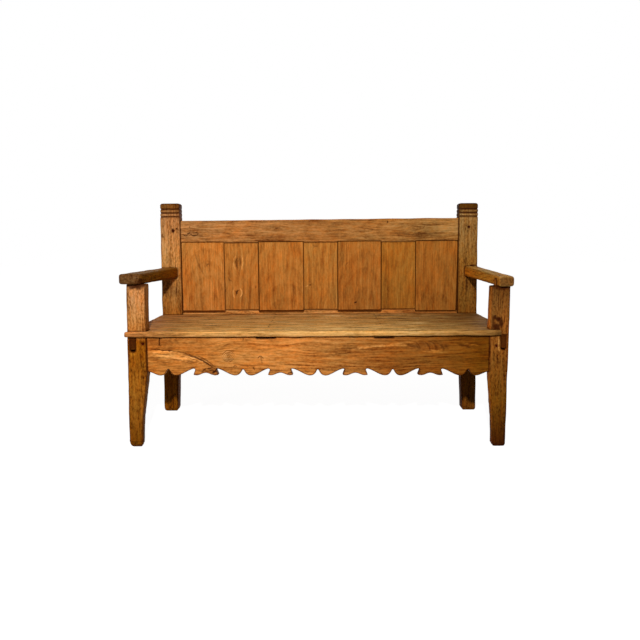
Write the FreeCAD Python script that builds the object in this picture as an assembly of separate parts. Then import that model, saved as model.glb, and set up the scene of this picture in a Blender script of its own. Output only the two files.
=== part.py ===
import FreeCAD, Part
import math
import os

os.makedirs("parts", exist_ok=True)
V = FreeCAD.Vector

# A pegged pine bench with a fixed panelled back, two arms and a boarded seat.
# Millimetres. X runs along the bench, the front faces -Y, Z is up.
# The origin is on the floor, under the centre of the bench's bounding box.

# Whole frame
frame_width = 1466.0        # outer face to outer face of the posts
frame_depth = 530.0         # front face of the legs to the back face of the posts
seat_top = 460.0
fit = 0.2                   # clearance round each tenon and peg
end_fit = 1.0               # space left at the bottom of a mortise
past = 10.0                 # how far a cutting shape runs past the wood

# Front legs, which run on up to carry the arms
leg_width = 74.0
leg_width_top_left = 74.0
leg_width_top_right = 71.0
leg_width_knee = 57.0
leg_width_foot = 53.0
leg_depth = 47.0
leg_depth_knee = 33.0
leg_depth_foot = 28.0
leg_taper_top = 300.0       # the legs taper on their two inner faces from here
knee_height = 115.0         # and more gently from here down
leg_lean = 7.0              # both feet stand this far to the left of their seat joints
foot_round = 9.0
arris = 3.0                 # rounded long edges of legs and posts

# Rear posts
post_width_left = 97.5
post_width_right = 90.0
post_width_under = 78.0     # under the lower rail
post_width_foot = 64.0
post_depth = 52.0
post_height_left = 975.0
post_height_right = 967.0
post_lean_left = 8.0        # the outer faces come in by this much at the top
post_lean_right = 3.0
post_step = 30.0            # height of the slope where the post narrows
cap_round = 10.0
bead_pitch = 17.2           # from groove to groove
cap_height = 26.5           # from the upper groove to the top
groove_radius = 3.4
groove_depth = 2.6

# Front apron
apron_thickness = 26.0
apron_set_back = 1.5
apron_tenon_length = 34.0
apron_tenon_thickness = 10.0
apron_tenon_bottom = 318.0
apron_tenon_height = 98.0

# Scalloped edge of the apron
lobe_low = 283.5            # height of the bottom of the lobes
notch_high = 310.5          # height of the notches and of the ramps' ends
end_lobe = 81.0             # last notch to the leg
notch_half = 31.0           # notch to the bottom of the lobe
block_width = 98.0          # across the pointed corners of a block
block_neck = 82.0           # across its narrowest part
block_rise = 10.5           # hollow in the middle of a block
block_corner = 2.0          # how far its corners hang over the lobes
scallop_bays = 4
scallop_tilt = 6.0          # the pattern falls this much from left to right

# How far each curve of the scallops is pulled, as shares of its own run and rise
notch_top_pull = (0.22, 0.33)
notch_foot_pull = 0.3
ramp_low_pull = 0.29
ramp_high_pull = (0.68, 0.84)
end_ramp_rise = 0.62
block_corner_rise = 0.1
block_neck_drop = 0.15
block_lip_pull = (0.51, 0.18)
block_hollow_pull = 0.35

# Side rails
side_rail_thickness = 28.0
side_rail_height = 77.0
side_rail_set_in = 5.0
side_tenon_thickness = 19.0
side_tenon_height = 51.0
side_tenon_set_in = 11.0    # from the outer face of the leg
side_mortise_gap = 8.0      # worn space under each tenon

# Panelled back
rail_set_back = 4.0
rail_thickness = 28.0
top_rail_bottom = 793.0
top_rail_height = 102.0
top_rail_rise = 5.0         # it is wider by this at its right end
top_tenon_length = 60.0
bottom_rail_top = 481.0
bottom_rail_height = 110.0
bottom_tenon_length = 48.0
rail_tenon_thickness = 12.0
rail_tenon_shoulder = 14.0
panel_groove_front = 10.0   # thickness of the lip in front of the groove
panel_groove = 8.0
panel_groove_side = 10.0    # depth in the uprights
top_groove = 20.0
bottom_groove = 26.0
muntin_width = 156.0
muntin_thickness = 26.0
muntin_arris = 2.5
panel_differences = (-2.0, 8.0, 0.0, -6.0)   # each panel against their mean width
panel_recess = 1.5
panel_side_gap = 2.0
panel_top_gap = 1.5
panel_foot_gap = 11.0
panel_tongue_fit = 0.5
panel_tongue_play = 2.0
lip_cut_top = 5.0           # the rail's lip is cut back over each panel
lip_cut_bottom = 14.0

# Seat
seat_thickness = 21.0
nosing_overhang = 22.0
nosing_round = 8.0
nosing_left_end = 5.0       # the nosing runs past the left leg
nosing_right_end = -47.0    # and stops short on the right leg
board_gap = 1.0
board_arris = 1.2
board_differences = (36.0, -1.0, -16.0, -19.0)
notch_fit = 0.4
nail_edge = 22.0            # from the edge of a board to its nails in a bearer

# Seat bearers
bearer_width = 75.0
bearer_thickness = 30.0
bearer_lap = 10.0           # thickness of the end that sits in the apron
bearer_recess = 6.0
bearer_housing = 9.0
bearer_left_x = -198.5
bearer_right_x = 254.5

# Arms
arm_underside = 632.0       # where it meets the rear post
arm_rear_thickness = 47.5
arm_front_thickness = 39.5
arm_rise_left = 11.0        # the underside's rise from the post to the front end
arm_rise_right = -7.0
arm_round = 9.0             # long edges and front end
arm_inner_round = 22.0      # plan of the left arm's inner front corner
arm_overhang = 25.0         # in front of the legs
arm_out_left = 18.0         # outside the legs, at the front
arm_out_right = 9.0
arm_left_front_width = 86.0
arm_left_rear_width = 78.0
arm_right_front_width = 58.0
arm_right_rear_width = 57.0
arm_rear_set_in = 3.0
arm_peg_in = 1.0            # the pegs end just inside the arms' outer faces
arm_tenon_width = 24.0
arm_tenon_height = 26.0
arm_tenon_length = 30.0
leg_tenon_width = 32.0
leg_tenon_depth = 26.0
leg_tenon_height = 27.0

# Pegs and nails
peg_radius = 4.5
small_peg_radius = 2.6
side_peg_length = 37.0
apron_peg_length = 32.0
arm_peg_length = 46.0
apron_peg_left = (59.0, 27.0)       # in from the leg's outer face, down from the seat boards
apron_peg_right = (48.0, 42.0)
top_peg_left = (31.5, 45.0)         # in from the post's inner face, down from the rail's top
top_peg_small = (16.5, 36.0)
top_peg_right = (47.0, 37.0)
bottom_peg = (22.0, 69.0)
nail_head_radius = 3.6
nail_head = 1.6
nail_radius = 1.7
nail_length = 44.0
nail_front_left = 95.0      # from the inner faces of the front legs
nail_front_right = 77.0

# Places worked out from the sizes
half = frame_width / 2
front_reach = max(arm_overhang, nosing_overhang)
leg_y0 = front_reach - (frame_depth + front_reach) / 2
leg_y1 = leg_y0 + leg_depth
post_y1 = leg_y0 + frame_depth
post_y0 = post_y1 - post_depth
rail_y0 = post_y0 + rail_set_back
rail_y1 = rail_y0 + rail_thickness
groove_y0 = rail_y0 + panel_groove_front
groove_y1 = groove_y0 + panel_groove
seat_under = seat_top - seat_thickness
leg_inner = half - leg_width
back_left = post_width_left - half
back_right = half - post_width_right
apron_y0 = leg_y0 + apron_set_back
apron_y1 = apron_y0 + apron_thickness
top_rail_top = top_rail_bottom + top_rail_height
bottom_rail_low = bottom_rail_top - bottom_rail_height
LEFT, RIGHT = -1, 1


def box(x0, x1, y0, y1, z0, z1):
    return Part.makeBox(x1 - x0, y1 - y0, z1 - z0, V(x0, y0, z0))


def bar_y(x, z, y0, y1, radius):
    return Part.makeCylinder(radius, y1 - y0, V(x, y0, z), V(0, 1, 0))


def bar_x(y, z, x0, x1, radius):
    return Part.makeCylinder(radius, x1 - x0, V(x0, y, z), V(1, 0, 0))


def mirrored(shape):
    return shape.mirror(V(0, 0, 0), V(1, 0, 0))


def on_side(shape, side):
    return shape if side == RIGHT else mirrored(shape)


def rounded_wire(corners, place):
    """A closed wire through corners (u, v, radius), each rounded by its radius."""
    ends = []
    count = len(corners)
    for i, (u, v, radius) in enumerate(corners):
        here = V(u, v, 0)
        back = V(corners[i - 1][0], corners[i - 1][1], 0) - here
        on = V(corners[(i + 1) % count][0], corners[(i + 1) % count][1], 0) - here
        back.normalize()
        on.normalize()
        if radius <= 0:
            ends.append((here, None, here))
            continue
        turn = back.getAngle(on) / 2
        reach = radius / math.tan(turn)
        middle = back + on
        middle.normalize()
        middle = here + middle * (radius / math.sin(turn) - radius)
        ends.append((here + back * reach, middle, here + on * reach))
    edges = []
    for i, (start, middle, end) in enumerate(ends):
        before = ends[i - 1][2]
        edges.append(Part.LineSegment(place(before), place(start)).toShape())
        if middle is not None:
            edges.append(Part.Arc(place(start), place(middle), place(end)).toShape())
    return Part.Wire(edges)


def prism_xz(corners, y0, y1):
    wire = rounded_wire(corners, lambda p: V(p.x, y0, p.y))
    return Part.Face(wire).extrude(V(0, y1 - y0, 0))


def prism_yz(corners, x0, x1):
    wire = rounded_wire(corners, lambda p: V(x0, p.x, p.y))
    return Part.Face(wire).extrude(V(x1 - x0, 0, 0))


def prism_xy(corners, z0, z1):
    wire = rounded_wire(corners, lambda p: V(p.x, p.y, z0))
    return Part.Face(wire).extrude(V(0, 0, z1 - z0))


def soften(shape, radius, wanted):
    """Round the edges whose two ends p and q satisfy wanted(p, q)."""
    edges = [e for e in shape.Edges if wanted(e.Vertexes[0].Point, e.Vertexes[-1].Point)]
    return shape.makeFillet(radius, edges) if edges else shape


def corner_x(x, z, way_x, way_z, radius, y0, y1):
    """What lies outside a rounded corner at x, z, seen along Y."""
    block = box(min(x - way_x * radius, x + way_x), max(x - way_x * radius, x + way_x),
                y0, y1, min(z - way_z * radius, z + way_z), max(z - way_z * radius, z + way_z))
    return block.cut(bar_y(x - way_x * radius, z - way_z * radius, y0, y1, radius))


def corner_y(y, z, way_y, way_z, radius, x0, x1):
    """What lies outside a rounded corner at y, z, seen along X."""
    block = box(x0, x1, min(y - way_y * radius, y + way_y), max(y - way_y * radius, y + way_y),
                min(z - way_z * radius, z + way_z), max(z - way_z * radius, z + way_z))
    return block.cut(bar_x(y - way_y * radius, z - way_z * radius, x0, x1, radius))


def near(a, b):
    return abs(a - b) < 0.01


def save(name, shape):
    """Write one piece, moved so that the origin is midway between the arms."""
    shape.translate(V(middle_shift, 0, 0))
    shape.exportStep("parts/" + name + ".step")
    box_now = shape.BoundBox
    print(name, len(shape.Solids), shape.isValid(), round(shape.Volume / 1000), "cm3",
          [round(v) for v in (box_now.XMin, box_now.XMax, box_now.YMin, box_now.YMax,
                              box_now.ZMin, box_now.ZMax)])


# Arm sizes on each side
ARMS = {
    LEFT: {"front": arm_left_front_width, "rear": arm_left_rear_width,
           "rise": arm_rise_left, "out": arm_out_left, "corner": arm_inner_round},
    RIGHT: {"front": arm_right_front_width, "rear": arm_right_rear_width,
            "rise": arm_rise_right, "out": arm_out_right, "corner": arm_round},
}
LEG_TOP = {LEFT: leg_width_top_left, RIGHT: leg_width_top_right}
POST_WIDTH = {LEFT: post_width_left, RIGHT: post_width_right}
POST_HEIGHT = {LEFT: post_height_left, RIGHT: post_height_right}
POST_LEAN = {LEFT: post_lean_left, RIGHT: post_lean_right}
APRON_PEG = {LEFT: (half - apron_peg_left[0], seat_under - apron_peg_left[1]),
             RIGHT: (half - apron_peg_right[0], seat_under - apron_peg_right[1])}

# Tenons that two pieces share
side_tenon_x1 = half - side_tenon_set_in
side_tenon_x0 = side_tenon_x1 - side_tenon_thickness
side_tenon_z0 = seat_under - side_tenon_height
apron_tenon_y0 = apron_y0 + (apron_thickness - apron_tenon_thickness) / 2
apron_tenon_y1 = apron_tenon_y0 + apron_tenon_thickness
apron_tenon_z1 = apron_tenon_bottom + apron_tenon_height
rail_tenon_y0 = rail_y0 + (rail_thickness - rail_tenon_thickness) / 2
rail_tenon_y1 = rail_tenon_y0 + rail_tenon_thickness
top_tenon_z0 = top_rail_bottom + top_groove + rail_tenon_shoulder / 2
top_tenon_z1 = top_rail_top - rail_tenon_shoulder
bottom_tenon_z0 = bottom_rail_low + rail_tenon_shoulder
bottom_tenon_z1 = bottom_rail_top - bottom_groove - rail_tenon_shoulder
leg_tenon_y0 = leg_y0 + (leg_depth - leg_tenon_depth) / 2
leg_tenon_y1 = leg_tenon_y0 + leg_tenon_depth
leg_tenon_x1 = half - (leg_width - leg_tenon_width) / 2
leg_tenon_x0 = leg_tenon_x1 - leg_tenon_width
middle_shift = (arm_out_left - arm_out_right) / 2
side_peg_z = (side_tenon_z0 + seat_under) / 2
leg_peg_y = (leg_y0 + leg_y1) / 2
post_peg_y = (post_y0 + post_y1) / 2


def arm_bottom(side, y):
    """Height of the underside of an arm at y."""
    along = (post_y0 - y) / (post_y0 - (leg_y0 - arm_overhang))
    return arm_underside + ARMS[side]["rise"] * along


def leg_shift(side, z):
    """How far a leaning leg stands out from the upright at height z."""
    return side * leg_lean * (z - seat_top) / seat_top


def arm_tenon_middle(side):
    outer = half - arm_rear_set_in
    return outer - ARMS[side]["rear"] / 2


def arm_tenon_z0(side):
    return arm_underside + (arm_rear_thickness - arm_tenon_height) / 2


def front_leg(side):
    shoulder_front = arm_bottom(side, leg_y0)
    shoulder_back = arm_bottom(side, leg_y1)
    high = max(shoulder_front, shoulder_back)
    foot = half + leg_shift(side, 0)
    knee = half + leg_shift(side, knee_height)
    top = half + leg_shift(side, high)
    leg = prism_xz([
        (foot, 0, 0), (top, high, 0), (top - LEG_TOP[side], high, 0),
        (leg_inner, seat_top, 0), (leg_inner, leg_taper_top, 0),
        (knee - leg_width_knee, knee_height, 0), (foot - leg_width_foot, 0, 0)],
        leg_y0, leg_y1)
    leg = soften(leg, arris, lambda p, q: near(p.y, leg_y0) and near(q.y, leg_y0) and
                 abs(p.z - q.z) > leg_width)
    x0 = leg_inner - leg_width
    x1 = half + leg_width
    leg = leg.cut(prism_yz([
        (leg_y0 + leg_depth_foot, 0, 0), (leg_y0 + leg_depth_knee, knee_height, 0),
        (leg_y1, leg_taper_top, 0), (leg_y1 + past, leg_taper_top, 0), (leg_y1 + past, -past, 0),
        (leg_y0 + leg_depth_foot, -past, 0)], x0, x1))
    leg = leg.cut(prism_yz([
        (leg_y0 - past, shoulder_front, 0), (leg_y0, shoulder_front, 0),
        (leg_y1, shoulder_back, 0), (leg_y1 + past, shoulder_back, 0),
        (leg_y1 + past, high + past, 0), (leg_y0 - past, high + past, 0)], x0, x1))
    leg = leg.cut(corner_x(foot, 0, 1, -1, foot_round, leg_y0 - past, leg_y1 + past))
    leg = leg.cut(corner_x(foot - leg_width_foot, 0, -1, -1, foot_round, leg_y0 - past, leg_y1 + past))
    leg = leg.cut(corner_y(leg_y0, 0, -1, -1, foot_round, x0, x1))
    leg = leg.cut(corner_y(leg_y0 + leg_depth_foot, 0, 1, -1, foot_round, x0, x1))
    leg = leg.fuse(box(leg_tenon_x0, leg_tenon_x1, leg_tenon_y0, leg_tenon_y1,
                       min(shoulder_front, shoulder_back) - past,
                       shoulder_front + leg_tenon_height))
    leg = leg.cut(box(leg_inner - past, leg_inner + apron_tenon_length + end_fit,
                      apron_tenon_y0 - fit, apron_tenon_y1 + fit,
                      apron_tenon_bottom - fit, apron_tenon_z1 + fit))
    leg = leg.cut(box(side_tenon_x0 - fit, side_tenon_x1 + fit, leg_y0 - past, leg_y1 + past,
                      side_tenon_z0 - side_mortise_gap, seat_under + fit))
    peg_x, peg_z = APRON_PEG[side]
    leg = leg.cut(bar_y(peg_x, peg_z, leg_y0 - past, leg_y0 + apron_peg_length, peg_radius + fit))
    leg = leg.cut(bar_x(leg_peg_y, side_peg_z, half - side_peg_length, half + past,
                        peg_radius + fit))
    arm_peg_z = shoulder_front + leg_tenon_height / 2
    leg = leg.cut(bar_x(leg_peg_y, arm_peg_z, half - arm_peg_length, half + past,
                        peg_radius + fit))
    return on_side(leg.removeSplitter(), side)


def rear_post(side):
    inner = half - POST_WIDTH[side]
    step_top = bottom_rail_low
    height = POST_HEIGHT[side]
    outer_top = half - POST_LEAN[side]
    post = prism_xz([
        (half, 0, 0), (outer_top, height, 0), (inner, height, 0), (inner, step_top, 0),
        (half - post_width_under, step_top - post_step, 0), (half - post_width_foot, 0, 0)],
        post_y0, post_y1)
    post = soften(post, arris, lambda p, q: near(p.y, q.y) and abs(p.z - q.z) > post_step)
    for way, y in ((-1, post_y0), (1, post_y1)):
        post = post.cut(corner_y(y, height, way, 1, cap_round, inner - past, half + past))
        post = post.cut(corner_y(y, 0, way, -1, foot_round, inner - past, half + past))
    y0 = post_y0 - past
    y1 = post_y1 + past
    post = post.cut(corner_x(outer_top, height, 1, 1, cap_round, y0, y1))
    post = post.cut(corner_x(inner, height, -1, 1, cap_round, y0, y1))
    post = post.cut(corner_x(half, 0, 1, -1, foot_round, y0, y1))
    post = post.cut(corner_x(half - post_width_foot, 0, -1, -1, foot_round, y0, y1))
    for i in range(3):
        z = height - cap_height - i * bead_pitch
        out = groove_radius - groove_depth
        side_x = half - POST_LEAN[side] * z / height
        post = post.cut(bar_x(post_y0 - out, z, inner - past, half + past, groove_radius))
        post = post.cut(bar_y(side_x + out, z, y0, y1, groove_radius))
        post = post.cut(bar_y(inner - out, z, y0, y1, groove_radius))
    post = post.cut(box(inner - past, inner + top_tenon_length + end_fit,
                        rail_tenon_y0 - fit, rail_tenon_y1 + fit,
                        top_tenon_z0 - fit, top_tenon_z1 + fit))
    post = post.cut(box(inner - past, inner + bottom_tenon_length + end_fit,
                        rail_tenon_y0 - fit, rail_tenon_y1 + fit,
                        bottom_tenon_z0 - fit, bottom_tenon_z1 + fit))
    post = post.cut(box(inner - past, inner + panel_groove_side, groove_y0, groove_y1,
                        bottom_rail_top - bottom_groove, top_rail_bottom + top_groove))
    post = post.cut(box(side_tenon_x0 - fit, side_tenon_x1 + fit, y0, y1,
                        side_tenon_z0 - side_mortise_gap, seat_under + fit))
    middle = arm_tenon_middle(side)
    z0 = arm_tenon_z0(side)
    post = post.cut(box(middle - arm_tenon_width / 2 - fit, middle + arm_tenon_width / 2 + fit,
                        y0, post_y0 + arm_tenon_length + end_fit,
                        z0 - fit, z0 + arm_tenon_height + fit))
    post = post.cut(bar_x(post_peg_y, side_peg_z, half - side_peg_length, half + past,
                          peg_radius + fit))
    post = post.cut(bar_x(post_y0 + arm_tenon_length / 2, z0 + arm_tenon_height / 2,
                          half - arm_peg_length, half + past, peg_radius + fit))
    post = on_side(post.removeSplitter(), side)
    for x, z, radius in rail_peg_places():
        if (x > 0) == (side == RIGHT):
            post = post.cut(bar_y(x, z, y0, y1, radius + fit))
    return post


def rail_peg_places():
    """Pegs through the tenons of the two back rails, as (x, z, radius)."""
    return [(back_left - top_peg_left[0], top_rail_top - top_peg_left[1], peg_radius),
            (back_left - top_peg_small[0], top_rail_top - top_peg_small[1], small_peg_radius),
            (back_right + top_peg_right[0], top_rail_top - top_peg_right[1], peg_radius),
            (back_left - bottom_peg[0], bottom_rail_top - bottom_peg[1], peg_radius),
            (back_right + bottom_peg[0], bottom_rail_top - bottom_peg[1], peg_radius)]


def curve(*poles):
    line = Part.BezierCurve()
    line.setPoles([V(x, 0, z) for x, z in poles])
    return line.toShape()


def scallop_edges():
    """Lower edge of the apron, from the left leg to the right leg."""
    pitch = (2 * leg_inner - 2 * end_lobe) / scallop_bays
    first = -leg_inner + end_lobe
    deep = notch_high - lobe_low
    ramp_end = (pitch - block_width) / 2 + block_corner
    edges = []

    def drop(x):
        return -scallop_tilt * x / (2 * leg_inner)

    def add(points):
        edges.append(curve(*[(x, z + drop(x)) for x, z in points]))

    def notch_side(notch, way):
        across, down = notch_top_pull
        return [(notch, notch_high),
                (notch + way * across * notch_half, notch_high - down * deep),
                (notch + way * notch_foot_pull * notch_half, lobe_low),
                (notch + way * notch_half, lobe_low)]

    def ramp(notch, way, length, rise):
        start = notch + way * notch_half
        run = length - notch_half
        across, up = ramp_high_pull
        return [(start, lobe_low), (start + way * ramp_low_pull * run, lobe_low),
                (start + way * across * run, lobe_low + up * rise),
                (start + way * run, lobe_low + rise)]

    def block_side(middle, way):
        corner = middle + way * block_width / 2
        neck = middle + way * block_neck / 2
        shelf = middle + way * (block_width / 2 - block_corner)
        neck_z = notch_high - block_neck_drop * deep
        return ([(shelf, notch_high), (neck, notch_high), (neck, neck_z)],
                [(neck, neck_z), (corner, lobe_low + block_corner_rise * deep)])

    def block_under(middle, way):
        edge = way * block_width / 2
        across, down = block_lip_pull
        hollow = lobe_low + block_rise
        return [(middle + edge, lobe_low + block_corner_rise * deep),
                (middle + across * edge, lobe_low - down * deep),
                (middle + block_hollow_pull * edge, hollow), (middle, hollow)]

    end_rise = end_ramp_rise * deep
    add(list(reversed(ramp(first, LEFT, end_lobe, end_rise))))
    add(list(reversed(notch_side(first, LEFT))))
    for bay in range(scallop_bays):
        notch = first + bay * pitch
        middle = notch + pitch / 2
        add(notch_side(notch, RIGHT))
        add(ramp(notch, RIGHT, ramp_end, deep))
        upper, lower = block_side(middle, LEFT)
        add(upper)
        add(lower)
        add(block_under(middle, LEFT))
        add(list(reversed(block_under(middle, RIGHT))))
        upper, lower = block_side(middle, RIGHT)
        add(list(reversed(lower)))
        add(list(reversed(upper)))
        add(list(reversed(ramp(notch + pitch, LEFT, ramp_end, deep))))
        add(list(reversed(notch_side(notch + pitch, LEFT))))
    last = first + scallop_bays * pitch
    add(notch_side(last, RIGHT))
    add(ramp(last, RIGHT, end_lobe, end_rise))
    return edges


def front_apron():
    edges = scallop_edges()
    start = edges[0].Vertexes[0].Point
    end = edges[-1].Vertexes[-1].Point
    top_left = V(start.x, 0, seat_under)
    top_right = V(end.x, 0, seat_under)
    edges.append(Part.LineSegment(end, top_right).toShape())
    edges.append(Part.LineSegment(top_right, top_left).toShape())
    edges.append(Part.LineSegment(top_left, start).toShape())
    face = Part.Face(Part.Wire(edges))
    face.translate(V(0, apron_y0, 0))
    apron = face.extrude(V(0, apron_thickness, 0))
    for side in (LEFT, RIGHT):
        tenon = box(leg_inner - past, leg_inner + apron_tenon_length, apron_tenon_y0,
                    apron_tenon_y1, apron_tenon_bottom, apron_tenon_z1)
        apron = apron.fuse(on_side(tenon, side))
        peg_x, peg_z = APRON_PEG[side]
        apron = apron.cut(bar_y(side * peg_x, peg_z, apron_y0 - past, apron_y1 + past,
                                peg_radius + fit))
    for middle in (bearer_left_x, bearer_right_x):
        apron = apron.cut(box(middle - bearer_width / 2 - fit, middle + bearer_width / 2 + fit,
                              apron_y0 - past, apron_y1 + past, seat_under - bearer_lap,
                              seat_under + past))
    for x, y in front_nail_places():
        apron = apron.cut(nail(x, y, fit))
    return apron.removeSplitter()


def side_rail(side):
    x1 = half - side_rail_set_in
    rail = box(x1 - side_rail_thickness, x1, leg_y1, post_y0,
               seat_under - side_rail_height, seat_under)
    rail = rail.fuse(box(side_tenon_x0, side_tenon_x1, leg_y0, post_y1,
                         side_tenon_z0, seat_under))
    for y in (leg_peg_y, post_peg_y):
        rail = rail.cut(bar_x(y, side_peg_z, half - side_peg_length - past, half + past,
                              peg_radius + fit))
    rail = on_side(rail, side)
    for x, y in end_nail_places(side):
        rail = rail.cut(nail(x, y, fit))
    return rail.removeSplitter()


def bays():
    """Left and right edges of the openings for the wide panels."""
    opening = back_right - back_left
    mean = (opening - 3 * muntin_width) / 4
    places = []
    x = back_left
    for difference in panel_differences:
        places.append((x, x + mean + difference))
        x += mean + difference + muntin_width
    return places


def muntin_places():
    found = bays()
    return [(found[i][1], found[i + 1][0]) for i in range(3)]


def top_rail():
    rail = prism_xz([
        (back_left, top_rail_bottom, 0), (back_right, top_rail_bottom, 0),
        (back_right, top_rail_top + top_rail_rise, 0), (back_left, top_rail_top, 0)],
        rail_y0, rail_y1)
    rail = soften(rail, arris, lambda p, q: near(p.y, q.y) and
                  min(p.z, q.z) > top_rail_top - 1)
    rail = rail.fuse(box(back_left - top_tenon_length, back_right + top_tenon_length,
                         rail_tenon_y0, rail_tenon_y1, top_tenon_z0, top_tenon_z1))
    rail = rail.cut(box(back_left, back_right, groove_y0, groove_y1,
                        top_rail_bottom - past, top_rail_bottom + top_groove))
    for x0, x1 in bays():
        rail = rail.cut(box(x0, x1, rail_y0 - past, groove_y0 + end_fit,
                            top_rail_bottom - past, top_rail_bottom + lip_cut_top))
    for x, z, radius in rail_peg_places():
        rail = rail.cut(bar_y(x, z, post_y0 - past, post_y1 + past, radius + fit))
    return rail.removeSplitter()


def back_bottom_rail():
    rail = box(back_left, back_right, rail_y0, rail_y1, bottom_rail_low, bottom_rail_top)
    rail = rail.fuse(box(back_left - bottom_tenon_length, back_right + bottom_tenon_length,
                         rail_tenon_y0, rail_tenon_y1, bottom_tenon_z0, bottom_tenon_z1))
    rail = rail.cut(box(back_left, back_right, groove_y0, groove_y1,
                        bottom_rail_top - bottom_groove, bottom_rail_top + past))
    for x0, x1 in bays():
        rail = rail.cut(box(x0, x1, rail_y0 - past, groove_y0 + end_fit,
                            bottom_rail_top - lip_cut_bottom, bottom_rail_top + past))
    for middle in (bearer_left_x, bearer_right_x):
        rail = rail.cut(box(middle - bearer_width / 2 - fit, middle + bearer_width / 2 + fit,
                            rail_y0 - past, rail_y0 + bearer_housing,
                            seat_under - bearer_thickness - fit, seat_under))
    for x, z, radius in rail_peg_places():
        rail = rail.cut(bar_y(x, z, post_y0 - past, post_y1 + past, radius + fit))
    return rail.removeSplitter()


def back_muntin(x0, x1):
    body = box(x0, x1, rail_y0, rail_y0 + muntin_thickness, bottom_rail_top, top_rail_bottom)
    body = soften(body, muntin_arris, lambda p, q: near(p.y, rail_y0) and near(q.y, rail_y0) and
                  near(p.x, q.x))
    body = body.fuse(box(x0 + panel_groove_side, x1 - panel_groove_side,
                         groove_y0 + fit, groove_y1 - fit,
                         bottom_rail_top - bottom_groove + panel_tongue_play,
                         top_rail_bottom + top_groove - panel_tongue_play))
    for left, right in ((x0 - past, x0 + panel_groove_side), (x1 - panel_groove_side, x1 + past)):
        body = body.cut(box(left, right, groove_y0, groove_y1, bottom_rail_top - past,
                            top_rail_bottom + past))
    return body.removeSplitter()


def back_panel(x0, x1):
    back_y = groove_y1 - panel_tongue_fit
    field = box(x0 + panel_side_gap, x1 - panel_side_gap, rail_y0 + panel_recess, back_y,
                bottom_rail_top - lip_cut_bottom + panel_foot_gap,
                top_rail_bottom + lip_cut_top - panel_top_gap)
    field = soften(field, board_arris, lambda p, q: near(p.y, rail_y0 + panel_recess) and
                   near(q.y, p.y))
    side = panel_groove_side - panel_tongue_play
    tongue = box(x0 - side, x1 + side, groove_y0 + panel_tongue_fit, back_y,
                 bottom_rail_top - bottom_groove + panel_tongue_play,
                 top_rail_bottom + top_groove - panel_tongue_play)
    return field.fuse(tongue).removeSplitter()


def board_edges():
    """Front and back edges of the four seat boards."""
    front = leg_y0 - nosing_overhang
    span = rail_y0 - front
    mean = span / 4
    edges = []
    y = front
    for difference in board_differences:
        edges.append((y, y + mean + difference - board_gap))
        y += mean + difference
    return edges


def bearer_nail_places():
    """Nails through the boards into the bearers, as (x, y)."""
    places = []
    for i, (y0, y1) in enumerate(board_edges()):
        for x in (bearer_left_x, bearer_right_x):
            if i > 0:
                places.append((x, y0 + nail_edge))
            places.append((x, y1 - nail_edge))
    return places


def front_nail_places():
    y = (apron_y0 + apron_y1) / 2
    return [(nail_front_left - leg_inner, y), (leg_inner - nail_front_right, y)]


def end_nail_places(side):
    """Nails through the board ends into a side rail."""
    x = side * (half - side_rail_set_in - side_rail_thickness / 2)
    return [(x, (max(y0, leg_y1) + min(y1, post_y0)) / 2) for y0, y1 in board_edges()]


def nail_places():
    return (front_nail_places() + bearer_nail_places() +
            end_nail_places(LEFT) + end_nail_places(RIGHT))


def nail(x, y, grow=0.0):
    head = Part.makeCylinder(nail_head_radius + grow, nail_head + grow,
                             V(x, y, seat_top - nail_head - grow))
    shank = Part.makeCylinder(nail_radius + grow, nail_length + grow,
                              V(x, y, seat_top - nail_length - grow))
    return head.fuse(shank)


def seat_board(number):
    y0, y1 = board_edges()[number]
    low = seat_under - past
    high = seat_top + past
    left = -half
    if number == 0:
        left = -half - nosing_left_end
    board = box(left, half, y0, y1, seat_under, seat_top)
    if number == 0:
        board = soften(board, nosing_round, lambda p, q: near(p.y, y0) and near(q.y, y0) and
                       near(p.z, q.z))
        board = board.cut(box(left - past, -half, leg_y0 - notch_fit, y1 + past, low, high))
        board = board.cut(box(half + nosing_right_end, half + past, y0 - past, leg_y1, low, high))
        notch = box(leg_inner - notch_fit, half + past, leg_y0 - notch_fit, leg_y1 + notch_fit,
                    low, high)
        board = board.cut(notch).cut(mirrored(notch))
    if number == len(board_differences) - 1:
        for side in (LEFT, RIGHT):
            inner = half - POST_WIDTH[side]
            board = board.cut(on_side(box(inner - notch_fit, half + past, post_y0 - notch_fit,
                                          y1 + past, low, high), side))
    for x, y in nail_places():
        if y0 < y < y1:
            board = board.cut(nail(x, y, fit))
    return board.removeSplitter()


def seat_bearer(middle):
    x0 = middle - bearer_width / 2
    x1 = middle + bearer_width / 2
    bearer = box(x0, x1, apron_y0 + bearer_recess, rail_y0 + bearer_housing - end_fit,
                 seat_under - bearer_thickness, seat_under)
    bearer = bearer.cut(box(x0 - past, x1 + past, apron_y0, apron_y1 + fit,
                            seat_under - bearer_thickness - past, seat_under - bearer_lap + fit))
    for x, y in bearer_nail_places():
        if near(x, middle):
            bearer = bearer.cut(nail(x, y, fit))
    return bearer.removeSplitter()


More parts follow.
